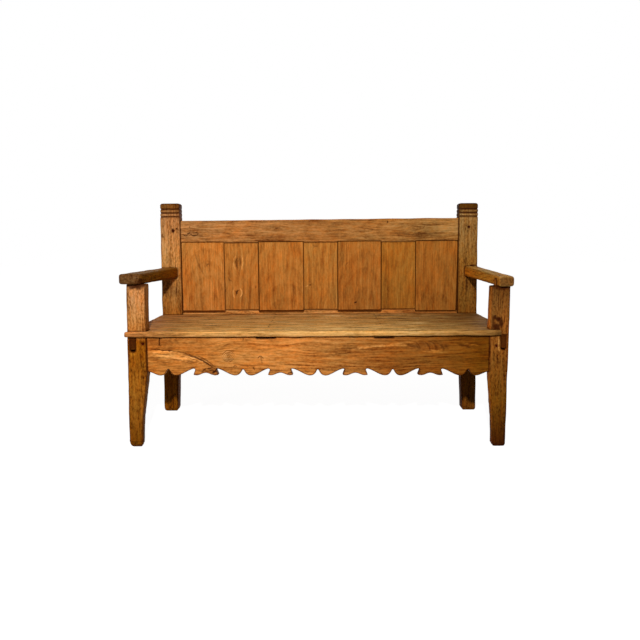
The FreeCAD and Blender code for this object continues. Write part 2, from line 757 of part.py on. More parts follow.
def arm(side):
    sizes = ARMS[side]
    front = leg_y0 - arm_overhang
    outer_front = half + sizes["out"]
    outer_rear = half - arm_rear_set_in
    inner_front = outer_front - sizes["front"]
    inner_rear = outer_rear - sizes["rear"]
    low = arm_bottom(side, front)
    high = max(low + arm_front_thickness, arm_underside + arm_rear_thickness)
    piece = prism_yz([
        (front, low, 0), (post_y0, arm_underside, 0),
        (post_y0, arm_underside + arm_rear_thickness, 0),
        (front, low + arm_front_thickness, 0)], inner_rear - past, outer_front + past)
    for front_x, rear_x, way in ((outer_front, outer_rear, 1), (inner_front, inner_rear, -1)):
        slope = past * (front_x - rear_x) / (post_y0 - front)
        away = way * (sizes["front"] + sizes["rear"])
        piece = piece.cut(prism_xy([
            (front_x + slope, front - past, 0), (rear_x - slope, post_y0 + past, 0),
            (rear_x + away, post_y0 + past, 0), (front_x + away, front - past, 0)],
            min(low, arm_underside) - past, high + past))
    piece = soften(piece, sizes["corner"], lambda p, q: near(p.x, inner_front) and
                   near(q.x, inner_front) and near(p.y, front) and near(q.y, front))
    piece = soften(piece, arm_round, lambda p, q: abs(p.y - q.y) > arm_front_thickness * 4 or
                   near(p.x, outer_front) and near(q.x, outer_front) or
                   near(p.y, front) and near(q.y, front) and near(p.z, q.z))
    z0 = arm_tenon_z0(side)
    middle = arm_tenon_middle(side)
    piece = piece.fuse(box(middle - arm_tenon_width / 2, middle + arm_tenon_width / 2,
                           post_y0 - past, post_y0 + arm_tenon_length, z0,
                           z0 + arm_tenon_height))
    shoulder = arm_bottom(side, leg_y0)
    piece = piece.cut(box(leg_tenon_x0 - fit, leg_tenon_x1 + fit, leg_tenon_y0 - fit,
                          leg_tenon_y1 + fit, shoulder - arm_peg_length,
                          shoulder + leg_tenon_height + end_fit))
    piece = piece.cut(bar_x(leg_peg_y, shoulder + leg_tenon_height / 2,
                            half - arm_peg_length, half + leg_width, peg_radius + fit))
    piece = piece.cut(bar_x(post_y0 + arm_tenon_length / 2, z0 + arm_tenon_height / 2,
                            half - arm_peg_length - past, half + past, peg_radius + fit))
    return on_side(piece.removeSplitter(), side)


def group(solids):
    return Part.makeCompound(solids)


def apron_pegs():
    return group([bar_y(side * APRON_PEG[side][0], APRON_PEG[side][1], leg_y0,
                        leg_y0 + apron_peg_length - end_fit, peg_radius)
                  for side in (LEFT, RIGHT)])


def rail_pegs(is_top):
    return group([bar_y(x, z, post_y0, post_y1, radius)
                  for x, z, radius in rail_peg_places() if (z > seat_top) == is_top])


def side_rail_pegs():
    pegs = []
    for side in (LEFT, RIGHT):
        for y in (leg_peg_y, post_peg_y):
            peg = bar_x(y, side_peg_z, half - side_peg_length + end_fit, half, peg_radius)
            pegs.append(on_side(peg, side))
    return group(pegs)


def arm_pegs():
    pegs = []
    for side in (LEFT, RIGHT):
        z_front = arm_bottom(side, leg_y0) + leg_tenon_height / 2
        z_rear = arm_tenon_z0(side) + arm_tenon_height / 2
        sizes = ARMS[side]
        along = (leg_peg_y - leg_y0 + arm_overhang) / (post_y0 - leg_y0 + arm_overhang)
        front_end = half + sizes["out"] * (1 - along) - arm_rear_set_in * along - arm_peg_in
        pegs.append(on_side(bar_x(leg_peg_y, z_front, half - arm_peg_length + end_fit,
                                  front_end, peg_radius), side))
        pegs.append(on_side(bar_x(post_y0 + arm_tenon_length / 2, z_rear,
                                  half - arm_peg_length + end_fit, half, peg_radius), side))
    return group(pegs)


for side, word in ((LEFT, "left"), (RIGHT, "right")):
    save("front_leg_" + word, front_leg(side))
    save("rear_post_" + word, rear_post(side))
    save("side_rail_" + word, side_rail(side))
    save("arm_" + word, arm(side))
save("front_apron", front_apron())
save("top_rail", top_rail())
save("back_bottom_rail", back_bottom_rail())
for i, (x0, x1) in enumerate(bays()):
    save("back_panel_" + str(i + 1), back_panel(x0, x1))
for i, (x0, x1) in enumerate(muntin_places()):
    save("back_muntin_" + str(i + 1), back_muntin(x0, x1))
for i in range(len(board_differences)):
    save("seat_board_" + str(i + 1), seat_board(i))
save("seat_bearer_left", seat_bearer(bearer_left_x))
save("seat_bearer_right", seat_bearer(bearer_right_x))
save("apron_pegs", apron_pegs())
save("top_rail_pegs", rail_pegs(True))
save("bottom_rail_pegs", rail_pegs(False))
save("side_rail_pegs", side_rail_pegs())
save("arm_pegs", arm_pegs())
save("seat_nails", group([nail(x, y) for x, y in nail_places()]))
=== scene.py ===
import math

import bmesh
import bpy
import numpy as np
from mathutils import Matrix, Vector
from mathutils.bvhtree import BVHTree


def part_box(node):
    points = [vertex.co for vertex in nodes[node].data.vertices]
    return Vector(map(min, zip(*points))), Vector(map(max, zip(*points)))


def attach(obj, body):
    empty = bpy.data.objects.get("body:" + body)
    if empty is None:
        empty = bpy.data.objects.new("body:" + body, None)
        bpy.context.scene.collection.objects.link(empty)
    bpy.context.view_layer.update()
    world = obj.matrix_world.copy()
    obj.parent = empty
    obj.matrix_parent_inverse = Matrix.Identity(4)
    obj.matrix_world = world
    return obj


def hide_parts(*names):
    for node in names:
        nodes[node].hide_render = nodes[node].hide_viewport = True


# Looks of an old pegged pine bench: worn edges, waxed wood with grain, knots and cracks.
# Metres. X runs along the bench, the front faces -Y, Z is up.

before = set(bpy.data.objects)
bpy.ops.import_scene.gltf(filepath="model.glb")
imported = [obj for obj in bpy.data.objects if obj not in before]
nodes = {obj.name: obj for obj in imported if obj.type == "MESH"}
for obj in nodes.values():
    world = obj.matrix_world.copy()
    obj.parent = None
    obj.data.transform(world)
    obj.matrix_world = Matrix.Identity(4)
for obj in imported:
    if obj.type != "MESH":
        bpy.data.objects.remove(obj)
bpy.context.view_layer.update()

# Sizes of the worn surfaces
VOXEL = 0.003          # mesh size of the worn pieces
FINE_VOXEL = 0.002     # mesh size of pieces with small grooves
SMOOTH_ROUNDS = 4       # rounds of smoothing that make the most worn edge
WARP = 0.0007           # how far faces wander from flat
WARP_LENGTH = 0.11      # distance from one hump of a face to the next
JOINT_REACH = 0.0045    # how far the darkening near a joint spreads: dirt and painted shade
JOINT_HOLD = 0.85       # share of the wear that an edge in a joint is spared
BEND_GAIN = 3.0         # makes the bend of a worn edge fill the range from 0 to 1
CRACK_SINK = 0.0006     # depth of a crack


def waves(points, size, seed):
    """Smooth uneven values from -1 to 1 over points, with bumps about as long as size."""
    rng = np.random.default_rng(seed)
    total = np.zeros(len(points))
    count = 9
    for _ in range(count):
        way = rng.normal(size=3)
        way *= rng.uniform(0.6, 1.5) * 2 * math.pi / size / np.linalg.norm(way)
        total += np.sin(points @ way + rng.uniform(0, 2 * math.pi))
    return total / math.sqrt(count) / 1.5


def read(mesh):
    points = np.zeros(len(mesh.vertices) * 3)
    mesh.vertices.foreach_get("co", points)
    return points.reshape(-1, 3)


def normals(mesh):
    found = np.zeros(len(mesh.vertices) * 3)
    mesh.vertex_normals.foreach_get("vector", found)
    return found.reshape(-1, 3)


def smoothed(points, pairs, rounds):
    """Points pulled towards the mean of their neighbours."""
    count = np.zeros(len(points))
    np.add.at(count, pairs.ravel(), 1)
    for _ in range(rounds):
        total = np.zeros_like(points)
        np.add.at(total, pairs[:, 0], points[pairs[:, 1]])
        np.add.at(total, pairs[:, 1], points[pairs[:, 0]])
        points = total / count[:, None]
    return points


def tree_of_others(name):
    """The surfaces of all the other pieces, to find how near they are."""
    points, faces = [], []
    for other, shape in nodes.items():
        if other == name or "peg" in other or "nail" in other:
            continue
        start = len(points)
        points += [v.co.copy() for v in shape.data.vertices]
        faces += [[start + i for i in p.vertices] for p in shape.data.polygons]
    return BVHTree.FromPolygons(points, faces)


def worn(name, wear, seed, shaping=None, size=VOXEL):
    """A finely meshed copy of a CAD piece, its edges rounded by wear, its faces a little
    uneven. Its points carry their nearness to other pieces, from 0 to 1, where the wood is
    darkened by dirt and painted shade, and bend, above 0 on edges and below 0 in hollows."""
    mesh = nodes[name].data.copy()
    clean = bmesh.new()
    clean.from_mesh(mesh)
    bmesh.ops.remove_doubles(clean, verts=clean.verts, dist=1e-6)
    clean.to_mesh(mesh)
    clean.free()
    piece = bpy.data.objects.new("worn_" + name, mesh)
    bpy.context.scene.collection.objects.link(piece)
    remesh = piece.modifiers.new("fine", "REMESH")
    remesh.mode = "VOXEL"
    remesh.voxel_size = size
    graph = bpy.context.evaluated_depsgraph_get()
    fine = bpy.data.meshes.new_from_object(piece.evaluated_get(graph))
    piece.modifiers.clear()
    piece.data = fine
    fine.name = piece.name

    points = read(fine)
    pairs = np.zeros(len(fine.edges) * 2, int)
    fine.edges.foreach_get("vertices", pairs)
    pairs = pairs.reshape(-1, 2)
    facing = normals(fine)
    soft = smoothed(points, pairs, SMOOTH_ROUNDS)
    bend = np.einsum("ij,ij->i", points - soft, facing) / size

    # Nearness to the other pieces: it spares the wear in joints and marks where dirt and painted
    # shade darken the wood
    others = tree_of_others(name)
    near_joint = np.zeros(len(points))
    for i, point in enumerate(points):
        near = others.find_nearest(Vector(point), JOINT_REACH * 3)
        if near[0] is not None:
            near_joint[i] = math.exp(-(near[3] / JOINT_REACH) ** 2)

    # Edges held tight in a joint keep their shape
    share = np.clip(wear * (0.75 + 0.55 * waves(points, 0.05, seed)), 0, 1)
    share *= 1 - JOINT_HOLD * near_joint
    moved = points + (soft - points) * share[:, None]
    moved += facing * (WARP * waves(points, WARP_LENGTH, seed + 1) * (1 - near_joint))[:, None]
    if shaping:
        moved = shaping(moved)
    moved[:, 2] = np.maximum(moved[:, 2], 0.0)
    fine.vertices.foreach_set("co", moved.ravel())
    for label, values in (("near_joint", near_joint), ("bend", np.clip(bend * BEND_GAIN, -1, 1))):
        layer = fine.attributes.new(label, "FLOAT", "POINT")
        layer.data.foreach_set("value", values.astype(np.float32))
    fine.shade_smooth()
    fine.update()
    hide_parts(name)
    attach(piece, "root")
    return piece


def linear(colour):
    """A colour written 0 to 255, as the renderer takes it."""
    parts = [c / 255 for c in colour]
    parts = [c / 12.92 if c <= 0.04045 else ((c + 0.055) / 1.055) ** 2.4 for c in parts]
    return tuple(parts) + (1.0,)


class Tree:
    """The nodes of a material or of the world. Most methods add a node and return its
    output."""

    def __init__(self, owner):
        self.owner = owner
        owner.use_nodes = True
        self.nodes = owner.node_tree.nodes
        self.links = owner.node_tree.links
        self.nodes.clear()

    def put(self, socket, value):
        if isinstance(value, bpy.types.NodeSocket):
            self.links.new(value, socket)
        elif value is not None:
            socket.default_value = value

    def math(self, operation, a, b=None, c=None):
        node = self.nodes.new("ShaderNodeMath")
        node.operation = operation
        for socket, value in zip(node.inputs, (a, b, c)):
            self.put(socket, value)
        return node.outputs[0]

    def add(self, a, b):
        return self.math("ADD", a, b)

    def sub(self, a, b):
        return self.math("SUBTRACT", a, b)

    def mul(self, a, b):
        return self.math("MULTIPLY", a, b)

    def span(self, value, low, high, to_low=0.0, to_high=1.0):
        """value from low to high, eased to run from to_low to to_high."""
        node = self.nodes.new("ShaderNodeMapRange")
        node.interpolation_type = "SMOOTHSTEP"
        for socket, given in zip(node.inputs, (value, low, high, to_low, to_high)):
            self.put(socket, given)
        return node.outputs[0]

    def vector(self, x, y, z):
        node = self.nodes.new("ShaderNodeCombineXYZ")
        for socket, value in zip(node.inputs, (x, y, z)):
            self.put(socket, value)
        return node.outputs[0]

    def noise(self, vector, scale, detail=2.0, rough=0.5):
        node = self.nodes.new("ShaderNodeTexNoise")
        self.put(node.inputs["Vector"], vector)
        node.inputs["Scale"].default_value = scale
        node.inputs["Detail"].default_value = detail
        node.inputs["Roughness"].default_value = rough
        return node.outputs[0]

    def ramp(self, value, stops):
        node = self.nodes.new("ShaderNodeValToRGB")
        self.put(node.inputs[0], value)
        points = node.color_ramp.elements
        while len(points) > 1:
            points.remove(points[-1])
        points[0].position, points[0].color = stops[0]
        for place, colour in stops[1:]:
            points.new(place).color = colour
        return node.outputs[0]

    def blend(self, kind, factor, a, b):
        node = self.nodes.new("ShaderNodeMix")
        node.data_type = "RGBA"
        node.blend_type = kind
        self.put(node.inputs[0], factor)
        self.put(node.inputs[6], a)
        self.put(node.inputs[7], b)
        return node.outputs[2]

    def attribute(self, name):
        node = self.nodes.new("ShaderNodeAttribute")
        node.attribute_name = name
        return node.outputs["Fac"]

    def split(self, vector):
        """The parts of a vector, by the letters of the axes."""
        node = self.nodes.new("ShaderNodeSeparateXYZ")
        self.put(node.inputs[0], vector)
        return dict(zip(AXES, node.outputs))

    def facing(self, letter):
        """How squarely the surface looks along one axis, -1 to 1."""
        shape = self.nodes.new("ShaderNodeNewGeometry")
        return self.split(shape.outputs["True Normal"])[letter]

    def place(self):
        """The surface's place in the bench's own frame."""
        return self.nodes.new("ShaderNodeTexCoord").outputs["Object"]

    def end(self, kind, shader):
        node = self.nodes.new(kind)
        self.put(node.inputs["Surface"], shader)

    def dull_surface(self, colour, roughness, height, relief):
        """The material's surface, with bumps up to relief metres high."""
        shader = self.nodes.new("ShaderNodeBsdfPrincipled")
        shader.inputs["Specular IOR Level"].default_value = SHINE
        self.put(shader.inputs["Base Color"], colour)
        self.put(shader.inputs["Roughness"], roughness)
        bump = self.nodes.new("ShaderNodeBump")
        bump.inputs["Strength"].default_value = BUMP_STRENGTH
        bump.inputs["Distance"].default_value = relief
        self.put(bump.inputs["Height"], height)
        self.put(shader.inputs["Normal"], bump.outputs[0])
        self.end("ShaderNodeOutputMaterial", shader.outputs[0])


AXES = "XYZ"
LOOK = {"X": 1, "Y": -1, "Z": 1}    # which side of a piece its main face is on

# Colours of the marks, some of them painted shade, and what pale wood, painted highlights,
# end grain and rubbed edges, partly painted highlight, multiply a colour by
# the darkening near joints and in hollows: partly dirt, partly painted shade
DIRT_AND_SHADE_DARK = linear((58, 19, 3))
MARK_DARK = linear((70, 25, 4))
# cracks, and painted shade in grooves, in recesses and under the arms
CRACK_AND_SHADE_DARK = linear((50, 12, 1))
MARK_LIGHT = (1.8, 2.15, 3.0, 1)
END_SHADE = (0.42, 0.36, 0.28, 1)
# pale rubbed edges: partly wear, partly painted highlight
RUBBED_AND_HIGHLIT = (1.5, 1.5, 1.55, 1)
PLAIN = (1, 1, 1, 1)

SHINE = 0.025           # reflection of the dull old wax
ROUGHNESS = 0.6
DIRT_AND_SHADE = 0.85             # how far the darkening in joints and hollows, dirt and painted shade, hides the wood
BUMP_STRENGTH = 0.6
WOOD_RELIEF = 0.0008    # height of the bumps of the grain
SMALL_RELIEF = 0.0004   # of pegs and nails
KNOT_RING = 0.0022      # half width of a line round a knot


def eased(value, low, high):
    """0 at low, 1 at high, eased between."""
    share = np.clip((value - low) / (high - low), 0, 1)
    return share * share * (3 - 2 * share)


def strokes(u, v, wiggle, lines, size):
    """How deep each point lies in one of the curved lines, 0 to 1. A line is (along from,
    across from, along to, across to, bow, half width, depth), and none is drawn narrower
    than a mesh of this size can show."""
    deep = np.zeros(len(u))
    for u0, v0, u1, v1, bow, half_width, depth in lines:
        length = math.hypot(u1 - u0, v1 - v0)
        du = (u1 - u0) / length
        dv = (v1 - v0) / length
        share = ((u - u0) * du + (v - v0) * dv) / length
        across = (v - v0) * du - (u - u0) * dv
        off = np.abs(across - 4 * bow * share * (1 - share) + wiggle)
        ends = eased(share, -0.08, 0.2) * eased(share, 1.08, 0.8)
        wide = max(half_width, 1.3 * size)
        deep = np.maximum(deep, eased(off, wide, wide * 0.35) * ends * depth)
    return deep


def rings(along, side, radii, squash, depth):
    """The rings of a knot as lines: two bows for each radius."""
    found = []
    for radius in radii:
        for way in (-1, 1):
            found.append((along - radius, side, along + radius, side,
                          way * radius * squash, KNOT_RING, depth))
    return found


def mark_up(piece, grain, face, seed, size, cracks_and_shade, smears, lights, stains_and_shadows, spots):
    """Write where a piece is cracked, pale or stained, and where it has painted shade, painted
    shadows and painted highlights, and sink the cracks and the painted shade a little.
    """
    mesh = piece.data
    points = read(mesh)
    facing = normals(mesh)
    across = [a for a in AXES if a not in (grain, face)][0]
    u = points[:, AXES.index(grain)]
    v = points[:, AXES.index(across)]
    seen_side = eased(facing[:, AXES.index(face)] * LOOK[face], 0.1, 0.4)
    wiggle = 0.0012 * waves(points, 0.016, seed)
    uneven = 0.25 * waves(points, 0.012, seed + 2) + 0.2 * waves(points, 0.03, seed + 3)
    crack_and_shade = strokes(u, v, wiggle, cracks_and_shade, size) * seen_side
    pale = strokes(u, v, wiggle, lights, size) * seen_side
    stain_and_shade = strokes(u, v, wiggle, smears, size) * seen_side
    for along, side, reach_u, reach_v, amount in stains_and_shadows:
        away = ((u - along) / reach_u) ** 2 + ((v - side) / reach_v) ** 2 + uneven
        inside = eased(away, 1.3, 0.1) * abs(amount) * seen_side
        if amount > 0:
            stain_and_shade = np.maximum(stain_and_shade, inside)
        else:
            pale = np.maximum(pale, inside)
    # dark spots hold knots and painted shade, pale ones pale wood and painted highlights
    for x, y, z, reach_x, reach_y, reach_z, depth in spots:
        off = (points - (x, y, z)) / (reach_x, reach_y, reach_z)
        away = (off ** 2).sum(axis=1) + uneven
        inside = eased(away, 1.2, 0.25) * abs(depth)
        if depth > 0:
            crack_and_shade = np.maximum(crack_and_shade, inside)
        else:
            pale = np.maximum(pale, inside)
    points -= facing * (CRACK_SINK * crack_and_shade)[:, None]
    mesh.vertices.foreach_set("co", points.ravel())
    for label, values in (("crack_and_shade", crack_and_shade), ("pale", pale), ("stain_and_shade", stain_and_shade)):
        layer = mesh.attributes.new(label, "FLOAT", "POINT")
        layer.data.foreach_set("value", values.astype(np.float32))
    mesh.update()


def wood(name, grain, face, tones, seed, middle=0.0, ring=0.010, heart=0.09, slant=0.05,
         knots=(), contrast=1.0, mottling=0.9, flame=0.12, bands=(1.5, 38.0, 0.5),
         flecks=(45.0, 200.0, 0.3), dark=(0.22, 0.11, 0.03), edge=0.25, rim=0.0, sides=None,
         ends_shade=END_SHADE):
    """Waxed pine. grain is the axis it runs along, face the axis its main face looks along.

    tones are (place along the grain, colour). The tree's centre lies across the grain at
    middle, heart behind the face, and comes nearer by slant along the grain; ring is the
    growth of a year. knots are (along, across, radius, stretch, depth). contrast, mottling
    and flame are the strengths of the streaks, the fine mottling and the growth rings; bands
    and flecks are (bumps per metre along, across, strength). dark is what the darkest grain
    multiplies the tone by. edge and rim are the strengths of pale rubbed edges, partly wear
    and partly painted highlight, and of dark edges, partly dirt and partly painted shade. The
    side factor is (axis, way, factor), painted light and shade for the faces that look one way."""
    t = Tree(bpy.data.materials.new(name))
    place = t.place()
    axis = t.split(place)
    across = [a for a in AXES if a not in (grain, face)][0]
    u = axis[grain]
    v = axis[across]
    w = axis[face]

    # The grain wanders slowly and flows round each knot
    slow = t.noise(t.vector(t.add(t.mul(u, 1.6), seed), t.mul(v, 7.0), t.mul(w, 7.0)), 1.0)
    wander = t.mul(t.sub(slow, 0.5), 0.07)
    g = t.add(t.sub(v, middle), wander)
    knot_dark = None
    for along, side, size, stretch, strength in knots:
        du = t.math("DIVIDE", t.sub(u, along), size * stretch)
        dv = t.math("DIVIDE", t.sub(v, side), size)
        square = t.add(t.mul(du, du), t.mul(dv, dv))
        fall = t.math("EXPONENT", t.mul(square, -0.35))
        push = t.math("DIVIDE", dv, t.math("SQRT", t.add(t.mul(dv, dv), 0.15)))
        g = t.sub(g, t.mul(t.mul(push, fall), size * 0.9))
        du = t.add(du, t.mul(t.sub(t.noise(place, 0.8 / size), 0.5), 1.6))
        swapped = t.vector(t.mul(v, 0.8 / size), t.mul(w, 0.8 / size), t.mul(u, 0.8 / size))
        dv = t.add(dv, t.mul(t.sub(t.noise(swapped, 1.0), 0.5), 1.6))
        away = t.math("SQRT", t.add(t.mul(du, du), t.mul(dv, dv)))
        lines = t.span(t.math("SINE", t.mul(away, 10.0)), -0.1, 0.9)
        lines = t.mul(lines, t.span(away, 0.3, 2.2, 0.45 * strength, 0.0))
        found = t.math("MAXIMUM", t.span(away, 0.1, 0.6, strength, 0.0), lines)
        knot_dark = found if knot_dark is None else t.math("MAXIMUM", knot_dark, found)

    # Growth rings, cut by a face at a slant to the tree's centre
    lean = t.mul(t.sub(t.noise(t.vector(t.mul(u, 1.1), seed, 0.0), 1.0), 0.5), 0.16)
    inward = t.add(t.add(t.mul(u, slant), lean), t.add(t.mul(w, 0.6), heart))
    radius = t.math("SQRT", t.add(t.mul(g, g), t.mul(inward, inward)))
    phase = t.math("FRACT", t.math("DIVIDE", radius, ring))
    late = t.mul(t.span(phase, 0.25, 0.85), t.span(phase, 0.88, 1.0, 1.0, 0.0))
    streak = t.noise(t.vector(t.mul(u, 3.0), t.mul(g, 95.0), t.mul(w, 60.0)), 1.0, 3.0, 0.6)
    thread = t.noise(t.vector(t.mul(u, 10.0), t.mul(g, 170.0), t.mul(w, 150.0)), 1.0, 2.0, 0.6)
    fibre = t.noise(t.vector(t.mul(u, 22.0), t.mul(g, 520.0), t.mul(w, 400.0)), 1.0, 2.0, 0.6)
    blotch = t.noise(t.vector(t.add(t.mul(u, 4.0), seed), t.mul(v, 13.0), t.mul(w, 13.0)), 1.0,
                     4.0, 0.6)
    band = t.noise(t.vector(t.mul(u, bands[0]), t.mul(g, bands[1]),
                            t.add(t.mul(w, bands[1] * 2), seed)), 1.0, 2.0, 0.5)
    mottle = t.noise(t.vector(t.mul(u, 80.0), t.mul(v, 150.0), t.mul(w, 150.0)), 1.0, 2.0, 0.6)
    value = t.mul(t.sub(late, 0.4), -flame)
    for part, share in ((streak, 0.55 * contrast), (thread, contrast),
                        (fibre, 0.5 * contrast), (band, bands[2]), (blotch, 0.45),
                        (mottle, mottling)):
        value = t.add(value, t.mul(t.sub(part, 0.5), share))
    value = t.add(value, 0.5)

    # Colour: the tone along the piece, made lighter and darker by the grain
    low = tones[0][0]
    high = tones[-1][0] + 1e-4
    where = t.math("DIVIDE", t.sub(u, low), high - low)
    tone = t.ramp(where, [((p - low) / (high - low), linear(c)) for p, c in tones])
    half = tuple(0.52 + 0.48 * c for c in dark)
    shade = t.ramp(value, [(0.0, dark + (1,)), (0.28, half + (1,)), (0.5, (0.98, 0.98, 0.98, 1)),
                           (0.85, (1.36, 1.46, 1.8, 1))])
    colour = t.blend("MULTIPLY", 1.0, tone, shade)
    wide = t.vector(t.mul(u, 5.0), t.mul(v, 16.0), t.add(t.mul(w, 16.0), seed))
    warm = t.ramp(t.noise(wide, 1.0, 2.0, 0.5),
                  [(0.3, (1.06, 0.95, 0.8, 1)), (0.5, PLAIN), (0.7, (0.95, 1.04, 1.15, 1))])
    colour = t.blend("MULTIPLY", 1.0, colour, warm)
    narrow = t.vector(t.mul(u, 30.0), t.mul(v, 110.0), t.mul(w, 110.0))
    tint = t.ramp(t.noise(narrow, 1.0, 2.0, 0.5),
                  [(0.32, (1.07, 0.96, 0.78, 1)), (0.5, PLAIN), (0.68, (0.95, 1.02, 1.08, 1))])
    colour = t.blend("MULTIPLY", 1.0, colour, tint)
    height = t.add(t.mul(late, 0.25), t.add(t.mul(streak, 0.5), t.mul(thread, 0.4)))

    # Flecks, stains, knots, cracks and pale streaks, with painted shadows, painted shade in
    # grooves and recesses, and painted highlights among them
    speck = t.noise(t.vector(t.mul(u, flecks[0]), t.mul(v, flecks[1]), t.mul(w, flecks[1])), 1.0,
                    2.0, 0.5)
    speck = t.mul(t.span(speck, 0.58, 0.72), flecks[2])
    colour = t.blend("MIX", speck, colour, MARK_DARK)
    uneven = t.add(t.mul(streak, 0.9), t.mul(mottle, 0.6))
    # stains, with painted shadows among them
    stain_and_shade = t.mul(t.attribute("stain_and_shade"), t.span(uneven, 0.5, 0.95, 1.25, 0.55))
    colour = t.blend("MIX", stain_and_shade, colour, MARK_DARK)
    pale_area = t.mul(t.attribute("pale"), t.span(uneven, 0.5, 0.95, 0.6, 1.2))
    colour = t.blend("MULTIPLY", pale_area, colour, MARK_LIGHT)
    if knots:
        seen_side = t.span(t.mul(t.facing(face), LOOK[face]), 0.1, 0.4)
        inside = t.mul(knot_dark, seen_side)
        colour = t.blend("MIX", inside, colour, MARK_DARK)
        height = t.sub(height, inside)
    crack_and_shade = t.attribute("crack_and_shade")
    colour = t.blend("MIX", t.mul(crack_and_shade, 0.92), colour, CRACK_AND_SHADE_DARK)
    height = t.sub(height, crack_and_shade)

    # End grain soaks up dirt and wax, and the faces that look one way are made lighter or
    # darker as painted light and shade
    ends = t.span(t.math("ABSOLUTE", t.facing(grain)), 0.5, 0.95)
    colour = t.blend("MULTIPLY", ends, colour, ends_shade)
    if sides:
        letter, way, factor = sides
        turned = t.span(t.mul(t.facing(letter), way), 0.5, 0.9)
        colour = t.blend("MULTIPLY", turned, colour, factor + (1,))

    # Edges and joints: pale rubbed edges, partly wear and partly painted highlight; dark edges,
    # partly dirt and partly painted shade; darkening near joints and in hollows, dirt and painted
    # shade
    bend = t.attribute("bend")
    near_joint = t.attribute("near_joint")
    corner = t.span(bend, 0.12, 0.6)
    # pale rubbed edges: partly wear, partly painted highlight
    rubbed_and_highlit = t.mul(corner, t.span(blotch, 0.3, 0.6, 0.35, 1.0))
    pale = t.blend("MULTIPLY", 1.0, tone, RUBBED_AND_HIGHLIT)
    colour = t.blend("MIX", t.mul(rubbed_and_highlit, edge), colour, pale)
    # dark edges: partly dirt, partly painted shade
    if rim:
        colour = t.blend("MIX", t.mul(corner, rim), colour, MARK_DARK)
    # darkening near other pieces and in hollows: partly dirt, partly painted shade
    joint_darkening = t.mul(t.span(near_joint, 0.1, 0.95), t.span(streak, 0.2, 0.7, 1.0, 0.6))
    hollow = t.span(bend, -0.5, -0.08, 1.0, 0.0)
    colour = t.blend("MIX", t.mul(t.math("MAXIMUM", joint_darkening, hollow), DIRT_AND_SHADE), colour, DIRT_AND_SHADE_DARK)

    roughness = t.add(t.mul(t.sub(streak, 0.5), 0.25), t.add(t.mul(near_joint, 0.3), ROUGHNESS))
    t.dull_surface(colour, roughness, t.add(height, t.mul(fibre, 0.25)), WOOD_RELIEF)
    return t.owner


def dress(piece, material):
    piece.data.materials.clear()
    piece.data.materials.append(material)


# Tones of the wood: (place along the grain, colour). Besides the wood's own tone they hold
# painted shade: the rear posts are darker below the seat, and the apron, back panels, seat
# and right-hand legs darken towards the right end of the bench, partly in tone and partly
# as painted fall-off of the light.
APRON_TONES = [(-0.62, (190, 114, 44)), (-0.1, (203, 129, 59)), (0.3, (154, 91, 32)),
               (0.62, (116, 65, 8))]
TOP_RAIL_TONES = [(-0.6, (192, 129, 69)), (0.0, (174, 111, 51)), (0.6, (176, 122, 60))]
BOTTOM_RAIL_TONES = [(-0.6, (214, 144, 74)), (0.6, (180, 112, 48))]
LEG_LEFT_TONES = [(0.0, (121, 66, 5)), (0.2, (158, 95, 24)), (0.42, (151, 82, 8)),
                  (0.46, (184, 120, 54)), (0.6, (197, 132, 74))]
LEG_RIGHT_TONES = [(0.0, (60, 22, 2)), (0.18, (114, 68, 12)), (0.48, (142, 85, 30)),
                   (0.6, (107, 65, 22))]
POST_LEFT_TONES = [(0.40, (136, 78, 10)), (0.7, (205, 140, 71)), (0.9, (194, 128, 71)),
                   (0.95, (125, 76, 27))]
POST_RIGHT_TONES = [(0.40, (118, 67, 14)), (0.7, (149, 98, 35)), (0.9, (157, 115, 60)),
                    (0.95, (90, 53, 6))]
ARM_LEFT_TONES = [(-0.27, (129, 92, 44)), (0.2, (164, 106, 23))]
ARM_RIGHT_TONES = [(-0.27, (197, 146, 75)), (0.2, (214, 157, 69))]
PANEL_TONES = [(197, 122, 51), (184, 115, 47), (184, 113, 44), (180, 115, 46), (171, 104, 39),
               (166, 104, 35), (163, 100, 36)]
SEAT_TONES = [(-0.72, (206, 132, 66)), (-0.5, (228, 167, 90)), (0.3, (236, 178, 96)),
              (0.7, (148, 103, 46))]
SEAT_SHADES = (1.03, 0.97, 0.96, 0.94)      # the boards from front to back
SIDE_RAIL_TONES = [(-0.25, (112, 60, 14)), (0.27, (130, 76, 30))]
BEARER_TONES = [(-0.25, (84, 52, 26)), (0.25, (110, 72, 36))]


def shaded(tone, factor):
    return tuple(min(255.0, part * factor) for part in tone)


# Sizes of the worn shapes
GROUND = 0.004              # points lower than this show where a foot stands
PANEL_LIP = 0.009           # the last panel moves up to this far behind the muntins' front
PANEL_SHRINK = 0.006        # how much narrower it is at its foot
PANEL_DROP = 0.008          # how far its foot has slipped down
PANEL_FOOT = 0.06           # height of the part that slips
LIP_PAST = 0.012            # how much longer the seat's lip is on the right
LIP_RUN = (0.60, 0.69)      # the lip is drawn out between these places along the seat
LIP_DEPTH = (-0.2535, -0.2560)  # along Y, from the board to its lip
STREAK_HALF = (0.004, 0.009)    # half width of a streak, least and most
STREAK_LONG = (0.05, 0.22)
STREAK_BOW = 0.004
BOARD_MARGIN = 0.006        # streaks start at least this far from a board's long edges


